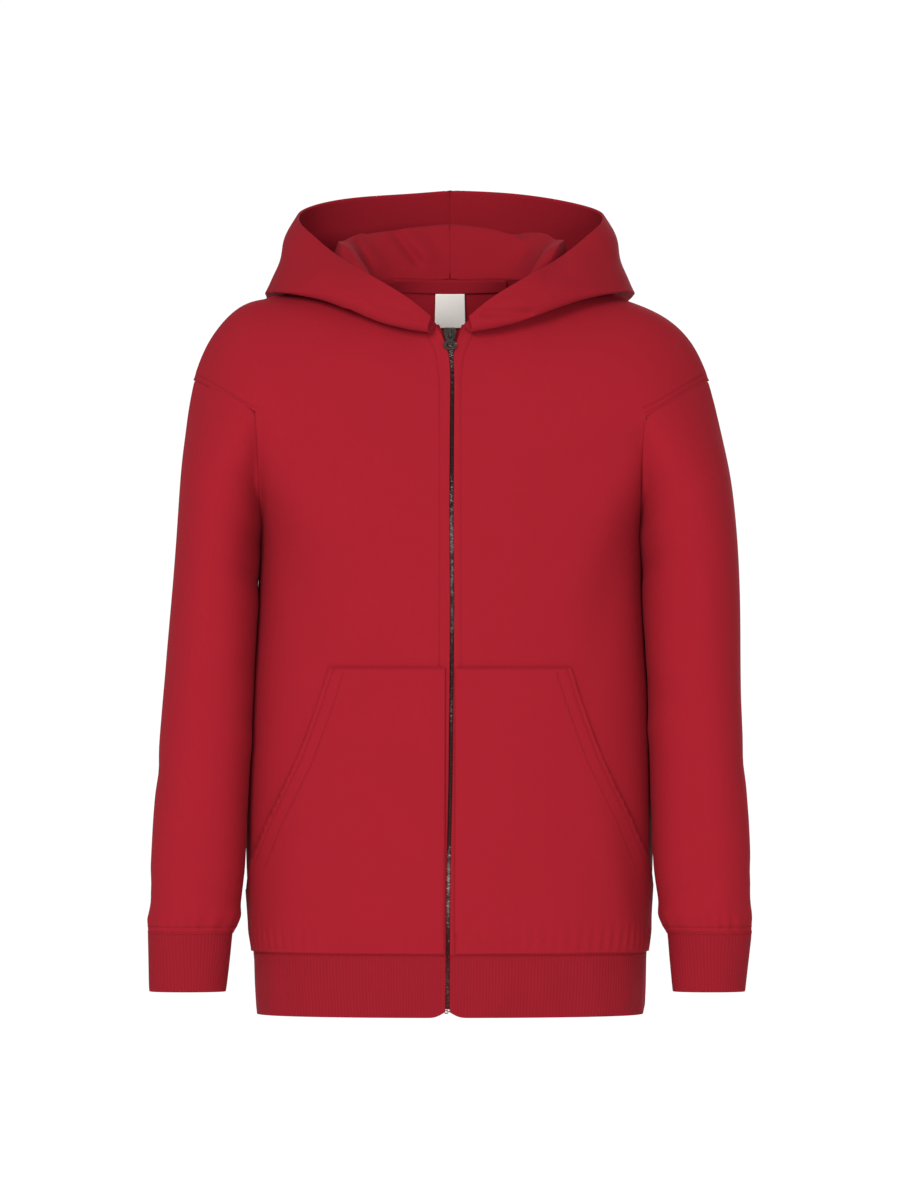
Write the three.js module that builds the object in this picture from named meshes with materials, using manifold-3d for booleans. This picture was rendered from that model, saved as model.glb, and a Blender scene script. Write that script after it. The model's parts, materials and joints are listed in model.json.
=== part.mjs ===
// Zip-front kids' hoodie, filled out as if worn but with nobody in it.
// Millimetres, +Z up, front facing -Y, +X at the viewer's right (the wearer's left).
// Origin: base of the neck, between the shoulders.
import * as THREE from 'three';
import * as BufferGeometryUtils from 'three/addons/utils/BufferGeometryUtils.js';
import Module from 'manifold-3d';

// ---------------------------------------------------------------- driving dimensions
const JERSEY = 2.0;            // wall of the body, sleeve and pocket cloth
const HOOD_WALL = 2.4;         // two plies of cloth in the hood
const RIB = 2.8;               // folded rib knit of the hem and cuffs
const TAPE = 0.9;              // woven tape
const SEAM_GAP = 0.4;          // space between two pieces along a seam
const LAY_GAP = 0.6;           // space under a piece that lies on a panel
const ZIP_HALF = 1.7;          // front edge of each panel from the centre line
const POWER = 2.3;             // roundness of the body sections
const HEM_SEAM_Z = -545.4;
const HEM_Z = -598;
const CUFF_SEAM_Z = -528.6;
const CUFF_Z = -578;
const POCKET_TOP_Z = -303;
const ZIP_TOP_Z = -29.8;
const ZIP_BOTTOM_Z = -594;

// Body sections from the hem seam up to the chest. The edge is the side seam, then the armhole.
const BODY_ROWS = [
  { zCentre: -545.2, zEdge: -545.2, half: 167.6, frontEdgeY: 0, backEdgeY: 0, front: 92, back: 83.5, sweep: 90 },
  { zCentre: -522, zEdge: -522, half: 170, frontEdgeY: 0, backEdgeY: 0, front: 95, back: 88, sweep: 90 },
  { zCentre: -490, zEdge: -490, half: 172.8, frontEdgeY: 0, backEdgeY: 0, front: 96.5, back: 90, sweep: 90 },
  { zCentre: -400, zEdge: -400, half: 172.3, frontEdgeY: 0, backEdgeY: 0, front: 97, back: 88.5, sweep: 90 },
  { zCentre: -305, zEdge: -305, half: 167.5, frontEdgeY: 0, backEdgeY: 0, front: 98, back: 87.5, sweep: 90 },
  { zCentre: -258, zEdge: -250, half: 164, frontEdgeY: 0, backEdgeY: 0, front: 98, back: 88, sweep: 90 },
  { zCentre: -222, zEdge: -198, half: 161, frontEdgeY: 0, backEdgeY: 0, front: 97, back: 89, sweep: 88 },
  { zCentre: -160, zEdge: -156, half: 161.3, frontEdgeY: -43, backEdgeY: 44, front: 93.5, back: 90, sweep: 78 },
  { zCentre: -118, zEdge: -118, half: 162.3, frontEdgeY: -58, backEdgeY: 58, front: 87.5, back: 86.5, sweep: 68 },
  { zCentre: -82, zEdge: -91, half: 164, frontEdgeY: -65, backEdgeY: 62, front: 80.5, back: 81, sweep: 58 },
];
// Neckline from the centre to the neck point, then the shoulder seam out to the sleeve head.
const FRONT_NECK = [[13, -62, -12], [29, -57.5, -6], [48, -46, 5], [65, -26, 17], [73, 4, 25]];
const BACK_NECK = [[0, 52, 27], [22, 49.5, 27.5], [43, 41, 28], [62, 26, 27], [73, 4, 25]];
const SHOULDER = [[73, 4, 25], [105, 3, 20], [140, 3, 12], [168, 2, 2.5], [190, 1, -8.5], [205, 0, -24],
  [213.5, 0, -40], [219.5, 0, -60]];
// Armhole from the top of the side rows up to the sleeve head.
const FRONT_ARMHOLE = [[164, -65, -91], [179, -60, -83], [199, -41, -71.5], [213, -18, -63.5], [219.5, 0, -60]];
const BACK_ARMHOLE = [[164, 62, -91], [179, 57, -83], [199, 39, -71.5], [213, 17, -63.5], [219.5, 0, -60]];
const NECK_SHARE = 0.4;        // share of a half panel's columns that end at the neckline

// Sleeve sections from the top of the arm to the cuff seam.
const SLEEVE_ROWS = [
  { z: -182, tilt: 32, x: 198.6, across: 36.2, y: -1, deep: 67 },
  { z: -250, tilt: 10, x: 202.8, across: 37.8, y: -13, deep: 56 },
  { z: -330, tilt: 0, x: 207, across: 38.6, y: -21, deep: 50 },
  { z: -430, tilt: 0, x: 213, across: 39.6, y: -26, deep: 43 },
  { z: -505, tilt: 0, x: 218, across: 38.8, y: -28, deep: 38 },
  { z: -528.2, tilt: 0, x: 218.8, across: 37.7, y: -28, deep: 34 },
];
const CUFF_ROWS = [
  { z: CUFF_SEAM_Z, tilt: 0, x: 219.6, across: 36.4, y: -28, deep: 32.4 },
  { z: -552, tilt: 0, x: 219.8, across: 34.6, y: -28, deep: 28 },
  { z: CUFF_Z, tilt: 0, x: 220.4, across: 32.2, y: -28.5, deep: 25 },
];
const HEM_ROWS = [
  { z: HEM_SEAM_Z - SEAM_GAP, half: 167.5, front: 91.5, back: 83 },
  { z: -572, half: 167, front: 91, back: 82.5 },
  { z: HEM_Z, half: 165, front: 89, back: 80.5 },
];
// Upper end of the zip opening: the panel edges and the tape edges run apart towards the neck.
const OPENING_EDGE = [[-44, 1.7], [-38, 2.0], [-30, 4.2], [-21, 8.6], [-12, 13]];
const TAPE_EDGE = [[-44, 2.9], [-36, 3.2], [-28, 5.0], [-20, 7.0], [-12, 10.5]];
// Outline of a patch pocket's slanted mouth, from the top edge to the side seam.
const POCKET_MOUTH = [[-303, 101], [-332, 110], [-378, 127], [-429, 152], [-469, 168.5], [-490, 171.2]];

// Lowered hood, wearer's left half, from the front end round to the centre back. Each station runs
// neck seam -> standing crest -> fold behind it -> lowest outer line -> free face edge.
const HOOD_STATIONS = [
  [[12, -63.5, -12.4], [14, -67, -17], [17, -71.5, -20.5], [18.5, -76, -17], [16, -75, -8]],
  [[29, -60, -5], [33, -66, -12], [38, -74, -17], [41, -79, -9], [35, -75, 8]],
  [[48, -48.5, 6.2], [57, -56, 0], [70, -67, -8], [78, -70, 6], [66, -64, 27]],
  [[64, -28.5, 18.2], [70, -34, 33], [84, -43, 14], [98, -52, 4], [112, -50, 14], [105, -42, 34], [92, -36, 42]],
  [[72, -6, 25.4], [79, -8, 46], [90, -9, 57], [98, -11, 38], [114, -12, 24], [141, -15, 14],
    [146, -12, 34], [134, -8, 56], [121, -5, 66]],
  [[70.5, 14, 26.8], [80, 17, 50], [94, 21, 61], [103, 24, 38], [121, 28, 22], [152, 30, 14],
    [156, 32, 36], [144, 33, 62], [131, 34, 79]],
  [[58, 30, 27.9], [70, 40, 56], [80, 52, 68], [88, 66, 44], [98, 86, 6], [121, 98, -14],
    [140, 98, 8], [137, 88, 54], [123, 76, 90]],
  [[34, 45, 28.5], [43, 56, 62], [49, 69, 75], [55, 87, 44], [60, 98, -20], [72, 115, -62],
    [92, 134, -36], [88, 127, 40], [76, 103, 101]],
  [[0.3, 52, 27.9], [0.3, 60, 64], [0.3, 73, 76], [0.3, 91, 44], [0.3, 98, -40], [0.3, 113, -106],
    [0.3, 136, -78], [0.3, 133, 30], [0.3, 113, 106]],
];

const COLOURS = { red: 0xac2432, rib: 0x971b29, hoodShade: 0x9c2030, label: 0xe9e6e2, metal: 0x4d4640 };

// ---------------------------------------------------------------- small helpers
const vec = (p) => new THREE.Vector3(p[0], p[1], p[2]);
const mirror = (p) => new THREE.Vector3(-p.x, p.y, p.z);
const root = new THREE.Group();

function finish(colour, metalness = 0) {
  return new THREE.MeshStandardMaterial({ color: colour, roughness: metalness ? 0.4 : 0.92, metalness });
}

function addMesh(name, geometry, material) {
  const mesh = new THREE.Mesh(geometry, material);
  mesh.name = name;
  root.add(mesh);
  return mesh;
}

// Smooth line through points, read at an even share of its number of spans.
function through(points, share) {
  const line = new THREE.CatmullRomCurve3(points.map((p) => (p.isVector3 ? p : vec(p))), false, 'centripetal');
  return line.getPoint(THREE.MathUtils.clamp(share, 0, 1));
}

// Smooth line through points, read by share of its length.
function along(points, share) {
  const line = new THREE.CatmullRomCurve3(points.map((p) => (p.isVector3 ? p : vec(p))), false, 'centripetal');
  return line.getPointAt(THREE.MathUtils.clamp(share, 0, 1));
}

// Straight-line reading of a short [key, value] table.
function readTable(table, key) {
  const rising = table[0][0] < table[table.length - 1][0];
  const rows = rising ? table : [...table].reverse();
  if (key <= rows[0][0]) return rows[0][1];
  for (let i = 1; i < rows.length; i += 1) {
    if (key <= rows[i][0]) {
      const share = (key - rows[i - 1][0]) / (rows[i][0] - rows[i - 1][0]);
      return THREE.MathUtils.lerp(rows[i - 1][1], rows[i][1], share);
    }
  }
  return rows[rows.length - 1][1];
}

function hermite(start, startPull, end, endPull, t) {
  const a = 2 * t ** 3 - 3 * t ** 2 + 1;
  const b = t ** 3 - 2 * t ** 2 + t;
  const c = -2 * t ** 3 + 3 * t ** 2;
  const d = t ** 3 - t ** 2;
  return new THREE.Vector3()
    .addScaledVector(start, a).addScaledVector(startPull, b)
    .addScaledVector(end, c).addScaledVector(endPull, d);
}

// Garment as it hangs: from the upper arm to the elbow both sleeves swing a little to +X.
function hang(p) {
  const reach = THREE.MathUtils.smoothstep(Math.abs(p.x), 166, 238);
  const height = Math.exp(-(((p.z + 205) / 115) ** 2));
  const cuffs = Math.exp(-(((p.z + 575) / 28) ** 2));
  return new THREE.Vector3(p.x + 6.2 * reach * height - 2.4 * reach * cuffs, p.y, p.z);
}

// ---------------------------------------------------------------- closed cloth from a grid
// grid[row][column] holds points of the piece's outer face; a tube closes its columns.
function gridNormals(grid, tube) {
  const rows = grid.length;
  const columns = grid[0].length;
  return grid.map((line, r) => line.map((point, c) => {
    const before = tube ? line[(c + columns - 1) % columns] : line[Math.max(c - 1, 0)];
    const after = tube ? line[(c + 1) % columns] : line[Math.min(c + 1, columns - 1)];
    const below = grid[Math.max(r - 1, 0)][c];
    const above = grid[Math.min(r + 1, rows - 1)][c];
    return new THREE.Vector3().subVectors(after, before)
      .cross(new THREE.Vector3().subVectors(above, below)).normalize();
  }));
}

// outer, inner: how far the two faces lie along the grid's normal.
// square(normal, row, column) may turn a normal at an edge, so that two rims meet face to face.
function cloth(grid, outer, inner, { tube = false, square = null } = {}) {
  const rows = grid.length;
  const columns = grid[0].length;
  const normals = gridNormals(grid, tube);
  if (square) normals.forEach((line, r) => line.forEach((normal, c) => square(normal, r, c, rows, columns)));
  const positions = [];
  for (const offset of [outer, inner]) {
    grid.forEach((line, r) => line.forEach((point, c) => {
      const moved = hang(point.clone().addScaledVector(normals[r][c], offset));
      positions.push(moved.x, moved.y, moved.z);
    }));
  }
  const at = (layer, r, c) => layer * rows * columns + r * columns + (c % columns);
  const faces = [];
  const quad = (a, b, c, d) => faces.push(a, b, c, a, c, d);
  const spans = tube ? columns : columns - 1;
  for (let r = 0; r < rows - 1; r += 1) {
    for (let c = 0; c < spans; c += 1) {
      quad(at(0, r, c), at(0, r, c + 1), at(0, r + 1, c + 1), at(0, r + 1, c));
      quad(at(1, r, c), at(1, r + 1, c), at(1, r + 1, c + 1), at(1, r, c + 1));
    }
  }
  for (let c = 0; c < spans; c += 1) {
    quad(at(0, 0, c), at(1, 0, c), at(1, 0, c + 1), at(0, 0, c + 1));
    quad(at(0, rows - 1, c), at(0, rows - 1, c + 1), at(1, rows - 1, c + 1), at(1, rows - 1, c));
  }
  if (!tube) {
    for (let r = 0; r < rows - 1; r += 1) {
      quad(at(0, r, 0), at(0, r + 1, 0), at(1, r + 1, 0), at(1, r, 0));
      quad(at(0, r, columns - 1), at(1, r, columns - 1), at(1, r + 1, columns - 1), at(0, r + 1, columns - 1));
    }
  }
  const geometry = new THREE.BufferGeometry();
  geometry.setAttribute('position', new THREE.Float32BufferAttribute(positions, 3));
  geometry.setIndex(outer > inner ? faces : faces.reverse());
  return geometry;
}

const steps = (count) => Array.from({ length: count + 1 }, (_, i) => i / count);
const mirrorGrid = (grid) => grid.map((line) => line.map(mirror).reverse());

// ---------------------------------------------------------------- body surface, one half
const bend = (angle) => Math.sin(angle) ** (2 / POWER);
const rise = (angle) => Math.max(Math.cos(angle), 0) ** (2 / POWER);

// side: 'front' or 'back'. u runs from the centre line (0) to the side seam or armhole (1).
function rowPoint(row, u, side) {
  const end = THREE.MathUtils.degToRad(row.sweep);
  const start = side === 'front' ? ZIP_HALF : 0;
  const edgeY = side === 'front' ? row.frontEdgeY : row.backEdgeY;
  const centreY = side === 'front' ? -row.front : row.back;
  const x = start + (row.half - start) * bend(u * end) / bend(end);
  const share = (rise(u * end) - rise(end)) / (1 - rise(end));
  return new THREE.Vector3(x, THREE.MathUtils.lerp(edgeY, centreY, share),
    THREE.MathUtils.lerp(row.zCentre, row.zEdge, u * u));
}

function topPoint(u, side) {
  const neck = side === 'front' ? FRONT_NECK : BACK_NECK;
  return u <= NECK_SHARE ? along(neck, u / NECK_SHARE) : along(SHOULDER, (u - NECK_SHARE) / (1 - NECK_SHARE));
}

const YOKE_START = 0.72;       // share of the panel's height at which the chest row lies
const ROW_SHARE = [0, 0.05, 0.1, 0.25, 0.4, 0.47, 0.53, 0.61, 0.67, YOKE_START];

function bodyPoint(u, v, side) {
  const sign = side === 'front' ? -1 : 1;
  const points = BODY_ROWS.map((row) => rowPoint(row, u, side));
  if (v <= YOKE_START) {
    let span = 1;
    while (span < ROW_SHARE.length - 1 && v > ROW_SHARE[span]) span += 1;
    const local = (v - ROW_SHARE[span - 1]) / (ROW_SHARE[span] - ROW_SHARE[span - 1]);
    const slope = (i) => {
      const low = Math.max(i - 1, 0);
      const high = Math.min(i + 1, points.length - 1);
      return new THREE.Vector3().subVectors(points[high], points[low])
        .divideScalar(ROW_SHARE[high] - ROW_SHARE[low]);
    };
    const width = ROW_SHARE[span] - ROW_SHARE[span - 1];
    const point = hermite(points[span - 1], slope(span - 1).multiplyScalar(width),
      points[span], slope(span).multiplyScalar(width), local);
    point.y = side === 'front' ? Math.min(point.y, 0) : Math.max(point.y, 0);
    return point;
  }
  const t = (v - YOKE_START) / (1 - YOKE_START);
  const chest = points[points.length - 1];
  const below = points[points.length - 2];
  const top = topPoint(u, side);
  const reach = chest.distanceTo(top);
  const leave = new THREE.Vector3().subVectors(chest, below).normalize().multiplyScalar(reach * 1.05);
  const overShoulder = THREE.MathUtils.smoothstep(u, NECK_SHARE * 0.2, NECK_SHARE);
  const arrive = new THREE.Vector3(0, -sign * (0.3 + 0.7 * overShoulder), 0.85 * (1 - overShoulder))
    .normalize().multiplyScalar(reach * (0.75 + 0.25 * overShoulder));
  const point = hermite(chest, leave, top, arrive, t);
  const edge = along(side === 'front' ? FRONT_ARMHOLE : BACK_ARMHOLE, t);
  const edgeTop = topPoint(1, side);
  const edgeChest = rowPoint(BODY_ROWS[BODY_ROWS.length - 1], 1, side);
  const edgeBelow = rowPoint(BODY_ROWS[BODY_ROWS.length - 2], 1, side);
  const edgeReach = edgeChest.distanceTo(edgeTop);
  const edgeFree = hermite(edgeChest, new THREE.Vector3().subVectors(edgeChest, edgeBelow).normalize()
    .multiplyScalar(edgeReach * 1.05), edgeTop, new THREE.Vector3(0, -sign, 0).multiplyScalar(edgeReach), t);
  point.addScaledVector(new THREE.Vector3().subVectors(edge, edgeFree), u ** 5);
  if (side === 'front') {
    point.x += (readTable(OPENING_EDGE, point.z) - ZIP_HALF - Math.max(point.x - ZIP_HALF, 0)) * (1 - u) ** 6;
  }
  return point;
}

// ---------------------------------------------------------------- body panels
const armholeStart = ROW_SHARE[6];
const FRONT_COLUMNS = steps(10);
const BACK_COLUMNS = steps(9);
const PANEL_ROWS = [0, 0.06, 0.15, 0.25, 0.33, 0.41, 0.47, 0.53, 0.57, 0.62, 0.67, 0.72, 0.775, 0.83, 0.88, 0.925,
  0.965, 1];

// At the shoulder and side seams the rims stand square to the seam plane y = 0.
const squareSeams = (isEdge) => (normal, r, c, rows, columns) => {
  const u = isEdge(c, columns);
  const shoulder = r === rows - 1 && u > NECK_SHARE - 0.02;
  const sideSeam = u > 0.99 && PANEL_ROWS[r] <= armholeStart;
  if (shoulder || sideSeam) normal.setY(0).normalize();
  if (r === 0) normal.setZ(0).normalize();
};
// Half of the seam gap, away from the seam plane.
const seamShift = (point, side) => point.setY(point.y + (side === 'front' ? -SEAM_GAP / 2 : SEAM_GAP / 2));
const frontGrid = PANEL_ROWS.map((v) => FRONT_COLUMNS.map((u) => seamShift(bodyPoint(u, v, 'front'), 'front')));
const backHalf = PANEL_ROWS.map((v) => BACK_COLUMNS.map((u) => seamShift(bodyPoint(u, v, 'back'), 'back')));
const backGrid = backHalf.map((line) => [...line].reverse().concat(line.slice(1).map(mirror)));

const leftSeams = { square: squareSeams((c, columns) => c / (columns - 1)) };
const rightSeams = { square: squareSeams((c, columns) => 1 - c / (columns - 1)) };
const backSeams = { square: squareSeams((c, columns) => Math.abs(2 * c / (columns - 1) - 1)) };
addMesh('front_left', cloth(frontGrid, 0, -JERSEY, leftSeams), finish(COLOURS.red));
addMesh('front_right', cloth(mirrorGrid(frontGrid), 0, -JERSEY, rightSeams), finish(COLOURS.red));
addMesh('back', cloth(backGrid, 0, -JERSEY, backSeams), finish(COLOURS.red));

// ---------------------------------------------------------------- sleeves and cuffs
const HEAD_SHARE = 0.3;        // share of the sleeve's length that blends from the armhole into the arm
const ARM_ROOT = vec([186, 0, -120]);
const ARMHOLE_STEP = vec([0.35, 0, -0.35]);   // keeps the sleeve's first row clear of the armhole

// The armhole is the edge of the front and of the back, row by row, from the underarm round and back.
const armholeRows = PANEL_ROWS.filter((v) => v >= armholeStart);
const frontArmhole = armholeRows.map((v) => bodyPoint(1, v, 'front'));
const backArmhole = armholeRows.map((v) => bodyPoint(1, v, 'back'));
const armholeLoop = frontArmhole.concat(backArmhole.slice(1, -1).reverse());

// Share of its length at which each point of a line lies.
function lengthShares(points) {
  const reached = [0];
  for (let i = 1; i < points.length; i += 1) reached.push(reached[i - 1] + points[i].distanceTo(points[i - 1]));
  return reached.map((length) => length / reached[reached.length - 1]);
}
const RING = lengthShares(frontArmhole).map((share) => share / 2)
  .concat(lengthShares(backArmhole).slice(1, -1).reverse().map((share) => 1 - share / 2));

// share: how far round the arm, from its inner side through the front.
function ringPoint(row, share) {
  const angle = share * 2 * Math.PI;
  const round = (value) => Math.sign(value) * Math.abs(value) ** (2 / 2.15);
  return new THREE.Vector3(row.x - row.across * round(Math.cos(angle)), row.y - row.deep * round(Math.sin(angle)),
    row.z - row.tilt * Math.cos(angle));
}

function sleeveGrid() {
  return steps(11).map((v) => armholeLoop.map((edge, k) => {
    const points = SLEEVE_ROWS.map((row) => ringPoint(row, RING[k]));
    if (v > HEAD_SHARE) return through(points, (v - HEAD_SHARE) / (1 - HEAD_SHARE));
    const outward = new THREE.Vector3().subVectors(edge, ARM_ROOT).setZ(0).normalize();
    const start = edge.clone().add(ARMHOLE_STEP);
    const reach = start.distanceTo(points[0]);
    const outerSide = THREE.MathUtils.smoothstep(Math.min(RING[k], 1 - RING[k]), 0.08, 0.3);
    const leave = new THREE.Vector3(0.5 * (1 - outerSide) + 0.25 * outerSide, outward.y * 0.3 * outerSide, -1)
      .normalize().multiplyScalar(reach);
    const arrive = new THREE.Vector3().subVectors(points[1], points[0]).normalize().multiplyScalar(reach);
    return hermite(start, leave, points[0], arrive, v / HEAD_SHARE);
  }));
}

const armGrid = sleeveGrid();
const cuffGrid = steps(2).map((v) => RING.map((share) => through(CUFF_ROWS.map((row) => ringPoint(row, share)), v)));
// Columns run the other way on the mirrored arm, so that its outer face stays outside.
for (const [side, flip] of [['left', (grid) => grid], ['right', mirrorGrid]]) {
  addMesh(`sleeve_${side}`, cloth(flip(armGrid), 0, JERSEY, { tube: true }), finish(COLOURS.red));
  addMesh(`cuff_${side}`, cloth(flip(cuffGrid), 0, RIB, { tube: true }), finish(COLOURS.rib));
}

// ---------------------------------------------------------------- hem band
const HEM_COLUMNS = [0.0, 0.02, 0.045, 0.09, 0.18, 0.28, 0.38, 0.48, 0.58, 0.68, 0.78, 0.89, 1];
const CORNER = 5;              // radius of the band's lower front corners

function hemPoint(u, v, side) {
  const rows = HEM_ROWS.map((row) => rowPoint({ zCentre: row.z, zEdge: row.z, half: row.half, frontEdgeY: 0,
    backEdgeY: 0, front: row.front, back: row.back, sweep: 90 }, u, side));
  const point = through(rows, v);
  if (side === 'front') {
    const inside = THREE.MathUtils.clamp(CORNER + ZIP_HALF - point.x, 0, CORNER);
    point.z += (CORNER - Math.sqrt(CORNER ** 2 - inside ** 2)) * v ** 3;
  }
  return point;
}
const hemGrid = [1, 0.5, 0].map((v) => {
  const front = HEM_COLUMNS.map((u) => hemPoint(u, v, 'front'));
  const back = HEM_COLUMNS.slice(3).filter((u) => u < 1).reverse().map((u) => hemPoint(u, v, 'back'));
  const centre = hemPoint(0, v, 'back');
  return [...front, ...back, centre, ...[...back].reverse().map(mirror), ...[...front].reverse().map(mirror)];
});
addMesh('hem_band', cloth(hemGrid, 0, -RIB), finish(COLOURS.rib));

// ---------------------------------------------------------------- solids library
const wasm = await Module();
wasm.setup();

function toSolid(geometry) {
  const bare = geometry.clone();
  bare.deleteAttribute('normal');
  bare.deleteAttribute('uv');
  const merged = BufferGeometryUtils.mergeVertices(bare, 1e-4);
  return new wasm.Manifold(new wasm.Mesh({
    numProp: 3,
    vertProperties: new Float32Array(merged.attributes.position.array),
    triVerts: new Uint32Array(merged.index.array),
  }));
}

function fromSolid(solid) {
  const mesh = solid.getMesh();
  const geometry = new THREE.BufferGeometry();
  geometry.setAttribute('position', new THREE.Float32BufferAttribute(mesh.vertProperties, 3));
  geometry.setIndex([...mesh.triVerts]);
  return geometry;
}

// Plate of an outline in X and Z, reaching from yFront to yBack.
function plateXZ(outline, yFront, yBack) {
  const shape = new THREE.Shape(outline.map(([x, z]) => new THREE.Vector2(x, z)));
  const geometry = new THREE.ExtrudeGeometry(shape, { depth: yBack - yFront, bevelEnabled: false });
  return geometry.rotateX(Math.PI / 2).translate(0, yBack, 0);
}

// ---------------------------------------------------------------- pockets
// A pocket is the front's own lower part moved out, cut to the pocket's outline.
const POCKET_EDGE_X = 4.2;
const POCKET_SIDE_Y = -5;
const pocketRows = PANEL_ROWS.filter((v) => v < 0.5).length;
const pocketOutline = [[POCKET_EDGE_X, HEM_SEAM_Z + 1.2], [POCKET_EDGE_X, POCKET_TOP_Z],
  ...POCKET_MOUTH.map(([z, x]) => [x, z]), [180, -500], [180, HEM_SEAM_Z + 1.2]];

function pocket(grid, side) {
  const blank = toSolid(cloth(grid.slice(0, pocketRows), LAY_GAP + JERSEY, LAY_GAP));
  const cutter = toSolid(plateXZ(pocketOutline.map(([x, z]) => [side * x, z]), -150, POCKET_SIDE_Y));
  return fromSolid(blank.intersect(cutter));
}
addMesh('pocket_left', pocket(frontGrid, 1), finish(COLOURS.red));
addMesh('pocket_right', pocket(mirrorGrid(frontGrid), -1), finish(COLOURS.red));

// ---------------------------------------------------------------- lowered hood
function hoodPoint(around, out) {
  return through(HOOD_STATIONS.map((station) => along(station, out)), around);
}
const squareHood = (isCentre) => (normal, r, c, rows, columns) => {
  if (isCentre(c, columns)) normal.setX(0).normalize();
};
const hoodGrid = steps(17).map((out) => steps(14).map((around) => hoodPoint(around, out)));
addMesh('hood_left', cloth(hoodGrid, HOOD_WALL / 2, -HOOD_WALL / 2,
  { square: squareHood((c, columns) => c === columns - 1) }), finish(COLOURS.hoodShade));
addMesh('hood_right', cloth(mirrorGrid(hoodGrid), HOOD_WALL / 2, -HOOD_WALL / 2,
  { square: squareHood((c) => c === 0) }), finish(COLOURS.hoodShade));

// ---------------------------------------------------------------- zip
// The tape and the chain follow the front edge of the panels, just behind them.
const TAPE_WIDTH = 12;
const CHAIN_HALF = 2.5;
const CHAIN_EXTRA = 0.3;       // the chain stands proud of its tape on both faces
const CHAIN_BACK = 0.5;        // and lies this much further in than the tape's face
const NEAR_EDGE = 0.03;

function frontEdge(z) {
  let low = 0;
  let high = 1;
  for (let i = 0; i < 24; i += 1) {
    const middle = (low + high) / 2;
    if (bodyPoint(NEAR_EDGE, middle, 'front').z < z) low = middle;
    else high = middle;
  }
  return bodyPoint(NEAR_EDGE, (low + high) / 2, 'front');
}

// Depth of the tape's front face at a height: behind the panel, and further in behind the thicker band.
function tapeY(x, z) {
  const neck = THREE.MathUtils.smoothstep(z, -64, -14);
  const yoke = THREE.MathUtils.smoothstep(z, -95, -64);
  const rounding = (0.0012 + 0.007 * neck) * x * x + 0.7 * yoke;
  if (z > HEM_SEAM_Z + 10) return frontEdge(z).y + JERSEY + SEAM_GAP + rounding;
  const band = THREE.MathUtils.clamp((z - HEM_Z) / (HEM_SEAM_Z - HEM_Z), 0, 1);
  return -THREE.MathUtils.lerp(HEM_ROWS[2].front, HEM_ROWS[0].front, band) + RIB + SEAM_GAP + rounding;
}
const tapeLevels = [ZIP_BOTTOM_Z, -570, HEM_SEAM_Z, -530, -500, -420, -340, -260, -200, -150, -110, -80, -60, -44, -36,
  ZIP_TOP_Z, -21, -14];
const tapeGrid = tapeLevels.map((z) => [0, 0.5, 1].map((share) => {
  const x = readTable(TAPE_EDGE, z) + TAPE_WIDTH * share;
  return new THREE.Vector3(x, tapeY(x, z), z);
}));
addMesh('zip_tape_left', cloth(tapeGrid, 0, -TAPE), finish(COLOURS.rib));
addMesh('zip_tape_right', cloth(mirrorGrid(tapeGrid), 0, -TAPE), finish(COLOURS.rib));
const chainGrid = tapeLevels.filter((z) => z <= ZIP_TOP_Z).map((z) => [-1, 1].map((share) => (
  new THREE.Vector3(share * CHAIN_HALF, tapeY(0, z) + CHAIN_BACK, z))));
addMesh('zip_chain', cloth(chainGrid, CHAIN_EXTRA, -TAPE - CHAIN_EXTRA), finish(COLOURS.metal, 0.8));

// Slider: two plates on a core, with a bridge over the front plate. Its own frame has Y pointing back,
// so -Y is out of the cloth, and its middle lies at SLIDER_Z in the plane of the panels.
const SLIDER_Z = -22.5;
const SLIDER = { halfTop: 5.1, halfBottom: 3.7, halfLength: 5.6, plate: 1.4, front: 1.4, back: 5.0, coreHalf: 1.8 };
const BRIDGE = { halfLength: 4.2, window: 2.7, height: 3.2, clear: 2.0, half: 1.0 };
const PULL = { thick: 1.2, bar: 1.2, slotHalf: 1.4, armHalf: 2.6, slotEnd: 4.8, neckEnd: 6.2, ringHalf: 5.85,
  ringEnd: 15, holeHalf: 3.0 };

const sliderOutline = [[-SLIDER.halfTop + 1, SLIDER.halfLength], [SLIDER.halfTop - 1, SLIDER.halfLength],
  [SLIDER.halfTop, SLIDER.halfLength - 1], [SLIDER.halfTop, 1.5], [SLIDER.halfBottom, -SLIDER.halfLength + 1],
  [SLIDER.halfBottom - 1, -SLIDER.halfLength], [-SLIDER.halfBottom + 1, -SLIDER.halfLength],
  [-SLIDER.halfBottom, -SLIDER.halfLength + 1], [-SLIDER.halfTop, 1.5], [-SLIDER.halfTop, SLIDER.halfLength - 1]];
const coreOutline = [[0, SLIDER.halfLength - 0.6], [SLIDER.coreHalf, SLIDER.halfLength - 2], [SLIDER.coreHalf, 0],
  [0, -3], [-SLIDER.coreHalf, 0], [-SLIDER.coreHalf, SLIDER.halfLength - 2]];

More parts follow.
